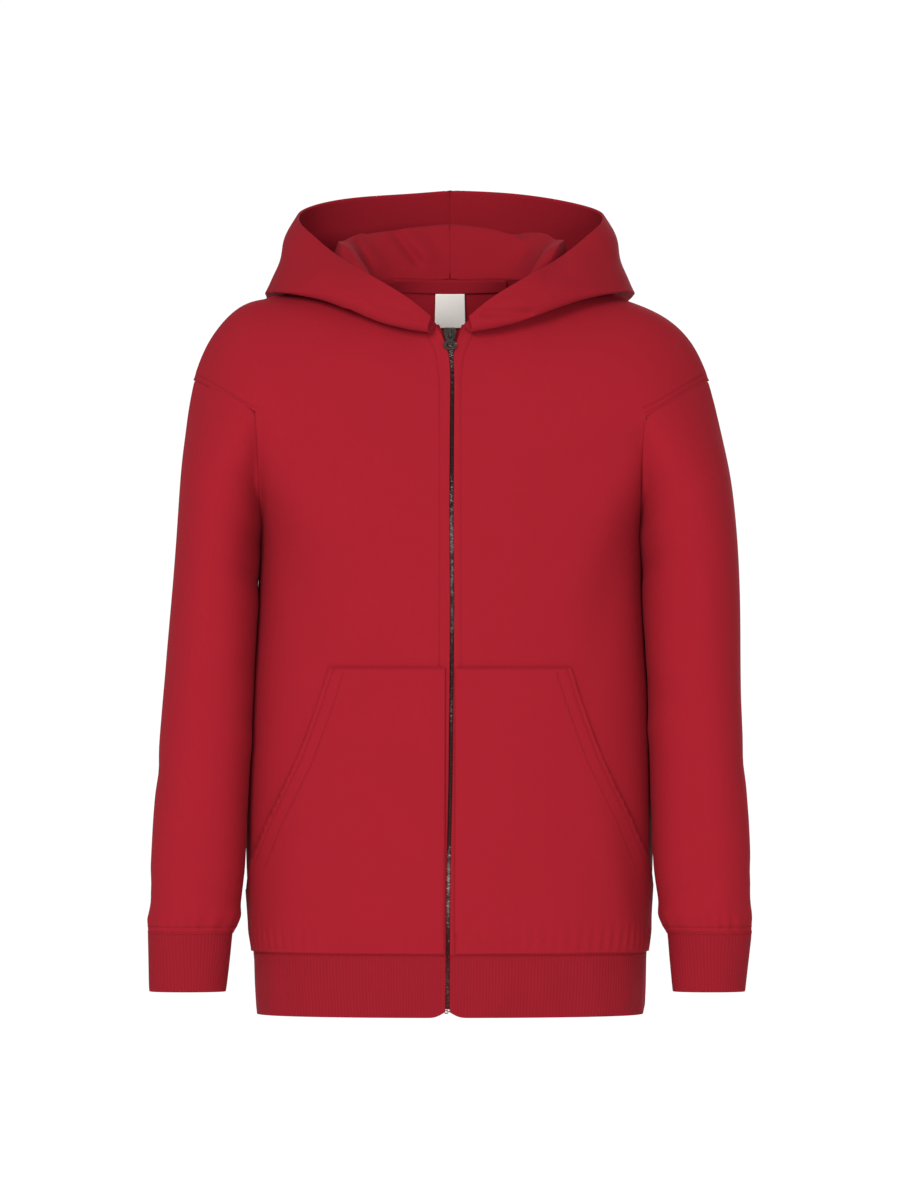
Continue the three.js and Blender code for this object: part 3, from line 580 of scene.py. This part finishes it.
def calc(tree, operation, first, second=None, third=None):
    node = tree.nodes.new("ShaderNodeMath")
    node.operation = operation
    for slot, value in enumerate((first, second, third)):
        if value is None:
            continue
        if isinstance(value, (int, float)):
            node.inputs[slot].default_value = value
        else:
            tree.links.new(value, node.inputs[slot])
    return node.outputs[0]


def mix(tree, factor, low, high):
    node = tree.nodes.new("ShaderNodeMix")
    node.data_type = "RGBA"
    for value, socket in ((factor, node.inputs[0]), (low, node.inputs[6]), (high, node.inputs[7])):
        if isinstance(value, (int, float, tuple)):
            socket.default_value = value
        else:
            tree.links.new(value, socket)
    return node.outputs[2]


def plus(tree, first, second):
    return calc(tree, "ADD", first, second)


def times(tree, first, second):
    return calc(tree, "MULTIPLY", first, second)


def noise(tree, place, scale, detail, roughness=0.5):
    node = add(tree, "ShaderNodeTexNoise", {"Scale": scale, "Detail": detail, "Roughness": roughness})
    tree.links.new(place, node.inputs["Vector"])
    return node.outputs["Fac"]


def split(tree, place):
    parts = add(tree, "ShaderNodeSeparateXYZ")
    tree.links.new(place, parts.inputs[0])
    return parts.outputs


def waves_per_length(group, pitch):
    """Turn of a sine wave for each unit of length, from the distance between two crests."""
    return calc(group, "DIVIDE", 2 * pi, pitch)


def fleece_group():
    """Jersey face of a brushed fleece: fine columns of knit, faint mottling, and the hollows along seams,
    darkened with painted shade.
    """
    group, source, place = new_group(
        "fleece_face", ("Colour", "Shade"), ("Knit pitch", "Mottle", "Seam depth and shade"))
    x, y, z = split(group, place)
    turn = waves_per_length(group, source["Knit pitch"])
    columns = calc(group, "SINE", times(group, plus(group, x, times(group, y, 0.85)), turn))
    rows = calc(group, "SINE", times(group, z, times(group, turn, 1.4)))
    knit = times(group, times(group, columns, rows), 0.5)
    nap = noise(group, place, 900.0, 3.0, 0.6)
    patches = noise(group, place, 22.0, 4.0, 0.55)
    seam = add(group, "ShaderNodeAttribute", attribute_name="seam").outputs["Fac"]
    hollow = add(group, "ShaderNodeMapRange",
                 {"From Min": 0.0, "From Max": 0.0022, "To Min": 1.0, "To Max": 0.0},
                 interpolation_type="SMOOTHSTEP")
    group.links.new(seam, hollow.inputs["Value"])
    # Near seams and stitching the cloth is pressed in and also darkened towards the Shade colour: painted
    # shade.
    seam_hollow_and_shade = times(group, hollow.outputs[0], source["Seam depth and shade"])
    mottle = plus(group, times(group, patches, source["Mottle"]), times(group, nap, 0.25))
    # Mix between Colour and Shade: random mottling of the nap plus painted shade along seams.
    dark = plus(group, mottle, times(group, seam_hollow_and_shade, 0.22))
    dark.node.use_clamp = True
    relief = plus(group, times(group, knit, 0.22), times(group, nap, 0.35))
    return put_out(group, mix(group, dark, source["Colour"], source["Shade"]),
                   plus(group, 0.86, times(group, nap, 0.12)),
                   calc(group, "SUBTRACT", relief, times(group, seam_hollow_and_shade, 1.6)))


def rib_group():
    """Rib knit: ridges that run down the band, read from the piece's own distance round it, with painted
    shade darkening the grooves between them.
    """
    group, source, place = new_group("rib_knit", ("Colour", "Groove shade"), ("Pitch",))
    around = add(group, "ShaderNodeAttribute", attribute_name="around").outputs["Fac"]
    ribs = calc(group, "SINE", times(group, around, waves_per_length(group, source["Pitch"])))
    share = calc(group, "MULTIPLY_ADD", ribs, 0.5, 0.5)
    nap = noise(group, place, 700.0, 3.0)
    patches = noise(group, place, 30.0, 3.0)
    # Mix factor: painted shade in the rib's grooves, together with random patches of tone.
    light = plus(group, times(group, share, 0.55), times(group, patches, 0.45))
    return put_out(group, mix(group, light, source["Groove shade"], source["Colour"]),
                   plus(group, 0.84, times(group, nap, 0.12)),
                   plus(group, share, times(group, nap, 0.3)))


def weave_group():
    """Plain weave of tapes and label: two crossing waves on Object coordinates."""
    group, source, place = new_group("plain_weave", ("Colour", "Shade"), ("Pitch",))
    parts = split(group, place)
    turn = waves_per_length(group, source["Pitch"])
    warp = calc(group, "SINE", times(group, parts["X"], turn))
    weft = calc(group, "SINE", times(group, parts["Z"], turn))
    cross = calc(group, "MULTIPLY_ADD", times(group, warp, weft), 0.5, 0.5)
    return put_out(group, mix(group, cross, source["Shade"], source["Colour"]),
                   calc(group, "MULTIPLY_ADD", cross, -0.1, 0.85), cross)


def wear_and_glint_group():
    """Dark antique finish that has rubbed through to bright metal here and there; the bright patches, set in
    bands, are also painted glints.
    """
    group, source, place = new_group("worn_and_glinting_metal", ("Finish", "Bare metal and glint"), ("Wear and glints",))
    spots = noise(group, place, 420.0, 5.0, 0.7)
    # The broad bands decide where bright metal shows: worn patches and painted glints both.
    wear_and_glint_bands = noise(group, place, 9.0, 2.0)
    both = plus(group, times(group, spots, 0.5), times(group, wear_and_glint_bands, 0.5))
    over = plus(group, both, calc(group, "MULTIPLY_ADD", source["Wear and glints"], 0.5, -0.5))
    wear_and_glint_mask = add(group, "ShaderNodeMapRange",
               {"From Min": 0.22, "From Max": 0.36, "To Min": 0.0, "To Max": 1.0})
    group.links.new(over, wear_and_glint_mask.inputs["Value"])
    return put_out(group, mix(group, wear_and_glint_mask.outputs[0], source["Finish"], source["Bare metal and glint"]),
                   calc(group, "MULTIPLY_ADD", spots, 0.3, 0.22), spots)


def finish_material(name, group, values, bump, reach, sheen=0.0, metallic=0.0, specular=0.08):
    """A material whose colour, roughness and relief come from one of the shared groups."""
    found = bpy.data.materials.get(name)
    if found:
        return found
    material = bpy.data.materials.new(name)
    material.use_nodes = True
    tree = material.node_tree
    shader = tree.nodes["Principled BSDF"]
    shader.inputs["Metallic"].default_value = metallic
    shader.inputs["Specular IOR Level"].default_value = specular
    shader.inputs["Sheen Weight"].default_value = sheen
    shader.inputs["Sheen Roughness"].default_value = 0.5
    shader.inputs["Sheen Tint"].default_value = (0.75, 0.10, 0.14, 1)
    face = add(tree, "ShaderNodeGroup", node_tree=group)
    for key, value in values.items():
        face.inputs[key].default_value = value
    relief = add(tree, "ShaderNodeBump", {"Strength": bump, "Distance": reach})
    tree.links.new(face.outputs["Colour"], shader.inputs["Base Color"])
    tree.links.new(face.outputs["Roughness"], shader.inputs["Roughness"])
    tree.links.new(face.outputs["Height"], relief.inputs["Height"])
    tree.links.new(relief.outputs["Normal"], shader.inputs["Normal"])
    return material


def group_once(name, maker):
    return bpy.data.node_groups.get(name) or maker()


def solid(colour, share=1.0):
    """A colour, or a share of its brightness, as a socket takes it."""
    return (colour[0] * share, colour[1] * share, colour[2] * share, 1.0)


# A darker share below 1 gives a shaded copy of the same fleece: painted shade, used for the hood.
def fleece(name="brushed_fleece", darker=1.0):
    cloth = bpy.context.scene.hoodie_cloth
    values = {"Colour": solid(cloth.fleece, darker), "Shade": solid(cloth.fleece_shade, darker),
              "Knit pitch": cloth.knit_pitch, "Mottle": 0.3, "Seam depth and shade": 1.0}
    return finish_material(name, group_once("fleece_face", fleece_group), values, 0.45, 0.0004, sheen=0.06)


def rib_knit():
    cloth = bpy.context.scene.hoodie_cloth
    values = {"Colour": solid(cloth.rib), "Groove shade": solid(cloth.rib, 0.8), "Pitch": cloth.rib_pitch}
    return finish_material("rib_cloth", group_once("rib_knit", rib_group), values, 0.5, 0.0004, sheen=0.05)


def woven(name, colour, shade, pitch, bump, reach):
    values = {"Colour": solid(colour), "Shade": solid(colour, shade), "Pitch": pitch}
    return finish_material(name, group_once("plain_weave", weave_group), values, bump, reach)


def tape_weave():
    return woven("woven_tape", bpy.context.scene.hoodie_cloth.fleece, 0.85, 0.0008, 0.4, 0.0002)


def label_weave():
    return woven("woven_label", bpy.context.scene.hoodie_cloth.label, 0.9, 0.0006, 0.3, 0.0002)


def thread_finish():
    return woven("sewing_thread", bpy.context.scene.hoodie_cloth.thread, 0.75, 0.0005, 0.3, 0.0001)


def antique_metal(name="antique_metal", wear_and_glint_share=0.25):
    zip_values = bpy.context.scene.hoodie_zip
    values = {"Finish": solid(zip_values.metal), "Bare metal and glint": solid(zip_values.worn_and_glinting_metal), "Wear and glints": wear_and_glint_share}
    return finish_material(name, group_once("worn_and_glinting_metal", wear_and_glint_group), values, 0.15, 0.0001, metallic=0.9,
                           specular=0.5)


# ------------------------------------------------------------------ operators: the cloth
HEM_SEAM = -545.2
CUFF_SEAM = -528.2
POCKET_TOP = -303
ARMHOLE = [(219, -61), (213, -65), (199, -73), (180, -85), (166, -92)]
ARMHOLE_GAP = 2.2      # the rows at an armhole start this much further in than the edge distance
POCKET_MOUTH = [(101, -303), (110, -332), (127, -378), (152, -429), (168.5, -469), (171.2, -492)]


def beside(corners, side):
    return [(side * x, z) for x, z in corners]


def shifted(corners, step):
    """The same line moved square to itself by a step in millimetres, to its left as it runs."""
    moved = []
    for i, (x, z) in enumerate(corners):
        ahead = corners[min(i + 1, len(corners) - 1)]
        behind = corners[max(i - 1, 0)]
        dx, dz = ahead[0] - behind[0], ahead[1] - behind[1]
        size = sqrt(dx * dx + dz * dz)
        moved.append((x - dz / size * step, z + dx / size * step))
    return moved


class HOODIE_OT_panels(bpy.types.Operator):
    """Two fronts and the back, with their folds"""
    bl_idname = "hoodie.panels"
    bl_label = "Fronts and back"

    def execute(self, context):
        for name, flat, area, under in (("front_left", (0.25, 0.585), 0.116, "back"),
                                        ("front_right", (0.25, 0.585), 0.116, "back"),
                                        ("back", (0.46, 0.60), 0.2315, "neck_tape")):
            obj = sewn_copy(name, f"cloth_{name}")
            hang(obj, hang_body)
            dress(obj, name, "garment", fleece())
        return {"FINISHED"}


class HOODIE_OT_sleeves(bpy.types.Operator):
    """Two sleeves, with folds at the underarm, elbow and wrist"""
    bl_idname = "hoodie.sleeves"
    bl_label = "Sleeves"

    def execute(self, context):
        for side in ("left", "right"):
            node = f"sleeve_{side}"
            obj = sewn_copy(node, f"cloth_{node}")
            hang(obj, hang_arm, side)
            dress(obj, node, "garment", fleece())
        return {"FINISHED"}


class HOODIE_OT_seams(bpy.types.Operator):
    """Closes the seams between the pieces"""
    bl_idname = "hoodie.seams"
    bl_label = "Seams"

    def execute(self, context):
        close_seams()
        return {"FINISHED"}


class HOODIE_OT_topstitch(bpy.types.Operator):
    """Rows of topstitching beside the seams, along the zip and round the pockets"""
    bl_idname = "hoodie.topstitch"
    bl_label = "Topstitching rows"

    def execute(self, context):
        sewing = context.scene.hoodie_sewing
        edge, twin = sewing.edge / MM, sewing.twin / MM
        steps = (edge, edge + twin)
        zip_row = sewing.zip_row / MM
        beside_zip = [(zip_row, -543), (zip_row, -60), (zip_row + 3, -38), (zip_row + 12, -19)]
        hem = [[(x, HEM_SEAM + step) for x in (4, 60, 120, 164)] for step in steps]
        for side, sign in (("left", 1), ("right", -1)):
            armhole = [beside(shifted(ARMHOLE, -step - ARMHOLE_GAP), sign) for step in steps]
            rows = [beside(row, sign) for row in (beside_zip, *hem)] + armhole
            self.sew_rows(f"cloth_front_{side}", rows)
            mouths = [shifted(POCKET_MOUTH[:-1], -step) for step in (3.0, 12.0)]
            top = [(6, POCKET_TOP - edge), (99, POCKET_TOP - edge)]
            self.sew_rows(f"cloth_pocket_{side}", [beside(row, sign) for row in (top, *mouths)])
            tree = tree_of(bpy.data.objects[f"cloth_sleeve_{side}"])
            rings = [ring_line(tree, side, CUFF_SEAM + step) for step in steps]
            self.finish_rows(f"cloth_sleeve_{side}", tree, rings)
        across = [[(-164, HEM_SEAM + step), (0, HEM_SEAM + step), (164, HEM_SEAM + step)] for step in steps]
        armholes = [beside(shifted(ARMHOLE, -step - ARMHOLE_GAP), sign) for step in steps for sign in (1, -1)]
        self.sew_rows("cloth_back", across + armholes, (0, -1, 0))
        return {"FINISHED"}

    def sew_rows(self, name, rows, direction=(0, 1, 0)):
        tree = tree_of(bpy.data.objects[name])
        self.finish_rows(name, tree, [facing_lines(tree, row, direction) for row in rows])

    def finish_rows(self, name, tree, lines):
        for line in lines:
            if len(line) < 2:
                raise RuntimeError(f"a row of stitching misses {name}")
            sew(tree, line)
        note_seams(bpy.data.objects[name], lines)


def ring_line(tree, side, z):
    """A level line right round an arm."""
    sign = 1 if side == "left" else -1
    middle_x, middle_y = arm_axis(np.array([z * MM]))
    middle = Vector((sign * float(middle_x[0]), float(middle_y[0]), z * MM))
    line = []
    for i in range(49):
        angle = 2 * pi * i / 48
        out = Vector((cos(angle), sin(angle), 0))
        hit = tree.ray_cast(middle + out * 0.2, -out)
        if hit[0] is not None:
            line.append(hit[0])
    return line


class HOODIE_OT_rib_bands(bpy.types.Operator):
    """The rib hem band and the two rib cuffs"""
    bl_idname = "hoodie.rib_bands"
    bl_label = "Rib bands"

    def execute(self, context):
        hem = sewn_copy("hem_band", "rib_hem_band", rim=0.5)
        points = points_of(hem)
        note(hem, "around", np.arctan2(points[:, 1] * 1.35, points[:, 0]) * 0.129)
        hang(hem, hang_rib)
        dress(hem, "hem_band", "garment", rib_knit())
        for side in ("left", "right"):
            node = f"cuff_{side}"
            cuff = sewn_copy(node, f"rib_{node}", rim=0.5)
            points = points_of(cuff)
            sign = 1 if side == "left" else -1
            turn = np.arctan2((points[:, 1] + 0.028) * 1.25, points[:, 0] - sign * 0.2195)
            note(cuff, "around", turn * 0.0305)
            hang(cuff, hang_cuff, side)
            dress(cuff, node, "garment", rib_knit())
        return {"FINISHED"}


class HOODIE_OT_pockets(bpy.types.Operator):
    """Two patch pockets, cut from the fronts' own surface and moved out on to them"""
    bl_idname = "hoodie.pockets"
    bl_label = "Pockets"

    def execute(self, context):
        for side, sign in (("left", 1), ("right", -1)):
            front = bpy.data.objects[f"cloth_front_{side}"]
            outline = [(4.2, -544.2), (4.2, POCKET_TOP), *POCKET_MOUTH, (180, -500), (180, -544.2)]
            obj = self.cut(front, beside(outline, sign), f"cloth_pocket_{side}")
            dress(obj, f"pocket_{side}", "garment", fleece())
        return {"FINISHED"}

    def cut(self, front, outline, name):
        bm = bmesh.new()
        bm.from_mesh(front.data)
        middles = np.array([face.calc_center_median() for face in bm.faces])
        normals = np.array([face.normal for face in bm.faces])
        out = body_outward(middles)
        facing = (normals * out).sum(axis=1)
        keep = (facing > 0.35) & (middles[:, 2] < -0.29) & (middles[:, 1] < -0.004)
        bm.faces.ensure_lookup_table()
        bmesh.ops.delete(bm, geom=[bm.faces[i] for i in np.nonzero(~keep)[0]], context="FACES")
        corners = [Vector((x * MM, 0, z * MM)) for x, z in outline]
        for start, end in zip(corners, corners[1:] + corners[:1]):
            run = end - start
            bmesh.ops.bisect_plane(bm, geom=bm.verts[:] + bm.edges[:] + bm.faces[:], dist=0.00001,
                                   plane_co=start, plane_no=Vector((run.z, 0, -run.x)).normalized())
        spare = [face for face in bm.faces if not inside(face.calc_center_median(), corners)]
        bmesh.ops.delete(bm, geom=spare, context="FACES")
        points = np.array([vert.co for vert in bm.verts])
        lifted = points + body_outward(points) * 0.0021
        for vert, place in zip(bm.verts, lifted):
            vert.co = place
        obj = object_from(bm, name)
        wall = obj.modifiers.new("wall", "SOLIDIFY")
        wall.thickness = 0.0015
        wall.offset = -1
        return settle(obj)


def inside(point, corners):
    """True if a point lies within an outline, seen from the front."""
    found = False
    for start, end in zip(corners, corners[1:] + corners[:1]):
        if (start.z > point.z) != (end.z > point.z):
            crossing = start.x + (point.z - start.z) * (end.x - start.x) / (end.z - start.z)
            if point.x < crossing:
                found = not found
    return found


class HOODIE_OT_hood(bpy.types.Operator):
    """The two halves of the lowered hood"""
    bl_idname = "hoodie.hood"
    bl_label = "Hood"

    def execute(self, context):
        for side in ("left", "right"):
            node = f"hood_{side}"
            obj = sewn_copy(node, f"cloth_{node}", rim=0.6)
            place_points(obj, hang_hood(points_of(obj)))
            points = points_of(obj)
            # Seam note along a line 3.5 mm beside the hood's centre seam, raised by 1.3 mm: the fleece
            # presses a faint hollow there and darkens it as painted shade.
            note(obj, "seam", np.abs(np.abs(points[:, 0]) - 0.0035) + 0.0013)
            # Painted shade: the hood's fleece is a copy of the cloth darkened to 0.9, because the hood lies
            # in shade.
            dress(obj, node, "garment", fleece("hood_fleece_painted_shade", 0.9))
        return {"FINISHED"}


class HOODIE_OT_neck(bpy.types.Operator):
    """The tape over the back neck seam and the blank label below it"""
    bl_idname = "hoodie.neck"
    bl_label = "Neck tape and label"

    def execute(self, context):
        for node, slot, material, flat in (("neck_tape", "red_tape", tape_weave(), (0.105, 0.0115)),
                                           ("neck_label", "label", label_weave(), (0.027, 0.029))):
            obj = sewn_copy(node, f"sewn_{node}", rim=0.9)
            dress(obj, node, "garment", material)
        return {"FINISHED"}


# ------------------------------------------------------------------ operators: the zip
def chain_line():
    """Middle of the chain, read from its plain strip."""
    points = np.array([v.co for v in NODES["zip_chain"].data.vertices])
    heights = np.unique(np.round(points[:, 2], 5))
    line = []
    for z in heights:
        level = points[np.abs(points[:, 2] - z) < 0.0004]
        line.append((0.0, float(level[:, 1].mean()), float(z)))
    return line


class HOODIE_OT_zip_tapes(bpy.types.Operator):
    """The two woven tapes and the closed rows of teeth"""
    bl_idname = "hoodie.zip_tapes"
    bl_label = "Zip tapes and teeth"

    def execute(self, context):
        for side in ("left", "right"):
            node = f"zip_tape_{side}"
            obj = sewn_copy(node, f"woven_{node}", rim=0.9)
            place_points(obj, wander(points_of(obj)))
            dress(obj, node, "garment", tape_weave())
        self.teeth(context)
        return {"FINISHED"}

    def teeth(self, context):
        pitch = context.scene.hoodie_zip.pitch
        bm = bmesh.new()
        line = spaced(chain_line(), pitch / 2)
        for i, point in enumerate(line):
            side = 1 if i % 2 else -1
            ahead = line[min(i + 1, len(line) - 1)] - line[max(i - 1, 0)]
            lean = atan2(-ahead.y, ahead.z)
            place = Matrix.Translation(point + Vector((side * 0.00075, 0, 0))) @ Matrix.Rotation(lean, 4, "X")
            size = Matrix.Diagonal((0.0031, 0.0019, pitch * 0.40, 1))
            made = bmesh.ops.create_cube(bm, size=1.0, matrix=place @ size)
            head = [v for v in made["verts"] if (v.co.x - point.x) * side < 0]
            bmesh.ops.scale(bm, vec=(1, 0.8, 0.7), space=Matrix.Translation(-point), verts=head)
        obj = object_from(bm, "zip_teeth")
        soft = obj.modifiers.new("soft", "BEVEL")
        soft.width = 0.00018
        soft.segments = 1
        settle(obj)
        place_points(obj, wander(points_of(obj)))
        # The chain gets more bright patches: worn metal, and painted glints along it.
        dress(obj, "zip_chain", "garment", antique_metal("chain_metal", 0.45))


class HOODIE_OT_zip_head(bpy.types.Operator):
    """Finish of the slider and of its pull tab"""
    bl_idname = "hoodie.zip_head"
    bl_label = "Slider and pull tab"

    def execute(self, context):
        for node in ("zip_slider", "zip_pull"):
            obj = NODES[node]
            for slot in obj.material_slots:
                slot.material = antique_metal()
            soft = obj.modifiers.new("soft", "BEVEL")
            soft.width = 0.00022
            soft.segments = 2
            soft.limit_method = "ANGLE"
        return {"FINISHED"}


class HOODIE_OT_stitching(bpy.types.Operator):
    """Every topstitch as a short piece of thread on the cloth"""
    bl_idname = "hoodie.stitching"
    bl_label = "Stitching"

    def execute(self, context):
        sewing = context.scene.hoodie_sewing
        bm = bmesh.new()
        for first, second in zip(STITCHES[:-1], STITCHES[1:]):
            if first is None or second is None:
                continue
            along = second[0] - first[0]
            if along.length > 2.5 * sewing.stitch or along.length < 0.0005:
                continue
            up = first[1].normalized()
            forward = along.normalized()
            across = forward.cross(up).normalized()
            up = across.cross(forward)
            turn = Matrix((across, forward, up)).transposed().to_4x4()
            middle = first[0] + along * 0.5
            place = Matrix.Translation(middle + up * 0.00012) @ turn
            size = Matrix.Diagonal((sewing.thread_width, along.length * 0.74, 0.0005, 1))
            made = bmesh.ops.create_cube(bm, size=1.0, matrix=place @ size)
            ends = [v for v in made["verts"] if (v.co - middle).dot(up) > 0]
            bmesh.ops.scale(bm, vec=(0.8, 0.8, 0.8), space=Matrix.Translation(-middle), verts=ends)
        obj = object_from(bm, "topstitching")
        dress(obj, None, "garment", thread_finish())
        return {"FINISHED"}


# ------------------------------------------------------------------ operator: the studio
class HOODIE_OT_stage(bpy.types.Operator):
    """Plain pale floor, soft lights and the camera"""
    bl_idname = "hoodie.stage"
    bl_label = "Studio"

    def execute(self, context):
        studio = context.scene.hoodie_studio
        bm = bmesh.new()
        below = Matrix.Translation((0, 0, -1.00))
        bmesh.ops.create_grid(bm, x_segments=1, y_segments=1, size=2.8, matrix=below)
        floor = object_from(bm, "studio_floor")
        pale = bpy.data.materials.new("pale_floor")
        pale.use_nodes = True
        paint = pale.node_tree.nodes["Principled BSDF"]
        paint.inputs["Base Color"].default_value = (1.0, 1.0, 1.0, 1)
        paint.inputs["Roughness"].default_value = 1.0
        paint.inputs["Specular IOR Level"].default_value = 0.0
        floor.data.materials.append(pale)
        world = bpy.data.worlds.new("studio_world")
        world.use_nodes = True
        sky = world.node_tree.nodes["Background"]
        sky.inputs["Color"].default_value = (1.0, 1.0, 1.0, 1)
        seen = add(world.node_tree, "ShaderNodeLightPath").outputs["Is Camera Ray"]
        strength = calc(world.node_tree, "MULTIPLY_ADD", seen, 0.42, 0.62)
        world.node_tree.links.new(strength, sky.inputs["Strength"])
        context.scene.world = world
        self.lamp("key", (-2.2, -5.2, 1.9), 2.0, 260)
        self.lamp("fill", (1.7, -6.5, 0.1), 1.6, 165)
        self.lamp("back", (0.8, 4.6, 1.4), 2.6, 110)
        context.scene.view_settings.view_transform = "Standard"
        camera = link(bpy.data.objects.new("camera", bpy.data.cameras.new("camera")))
        camera.location = (0, -studio.distance, studio.middle)
        camera.rotation_euler = (radians(90), 0, 0)
        camera.data.sensor_fit = "VERTICAL"
        camera.data.sensor_height = 36
        camera.data.lens = 36 * studio.distance / studio.view_height
        camera.data.clip_end = 60
        context.scene.camera = camera
        return {"FINISHED"}

    def lamp(self, name, place, size, power):
        light = bpy.data.lights.new(name, "AREA")
        light.size = size
        light.energy = power
        obj = link(bpy.data.objects.new(name, light))
        obj.location = place
        obj.rotation_euler = (Vector((0, 0, -0.25)) - Vector(place)).to_track_quat("-Z", "Y").to_euler()


# ------------------------------------------------------------------ panel and registration
STEPS = ("stage", "panels", "sleeves", "rib_bands", "hood", "seams", "pockets", "neck", "zip_tapes",
         "zip_head", "topstitch", "stitching")


class HOODIE_PT_sidebar(bpy.types.Panel):
    bl_label = "Hoodie"
    bl_idname = "HOODIE_PT_sidebar"
    bl_space_type = "VIEW_3D"
    bl_region_type = "UI"
    bl_category = "Hoodie"

    def draw(self, context):
        for step in STEPS:
            self.layout.operator(f"hoodie.{step}")


GROUPS = {"hoodie_cloth": HoodieCloth, "hoodie_sewing": HoodieSewing, "hoodie_zip": HoodieZip,
          "hoodie_studio": HoodieStudio}
OPERATORS = (HOODIE_OT_stage, HOODIE_OT_panels, HOODIE_OT_sleeves, HOODIE_OT_rib_bands, HOODIE_OT_hood,
             HOODIE_OT_seams, HOODIE_OT_pockets, HOODIE_OT_neck, HOODIE_OT_zip_tapes, HOODIE_OT_zip_head,
             HOODIE_OT_topstitch, HOODIE_OT_stitching)


def register():
    for name, group in GROUPS.items():
        bpy.utils.register_class(group)
        setattr(bpy.types.Scene, name, PointerProperty(type=group))
    for operator in OPERATORS:
        bpy.utils.register_class(operator)
    bpy.utils.register_class(HOODIE_PT_sidebar)


def unregister():
    bpy.utils.unregister_class(HOODIE_PT_sidebar)
    for operator in reversed(OPERATORS):
        bpy.utils.unregister_class(operator)
    for name, group in GROUPS.items():
        delattr(bpy.types.Scene, name)
        bpy.utils.unregister_class(group)


def main():
    register()
    for step in STEPS:
        getattr(bpy.ops.hoodie, step)()


if __name__ == "__main__":
    main()
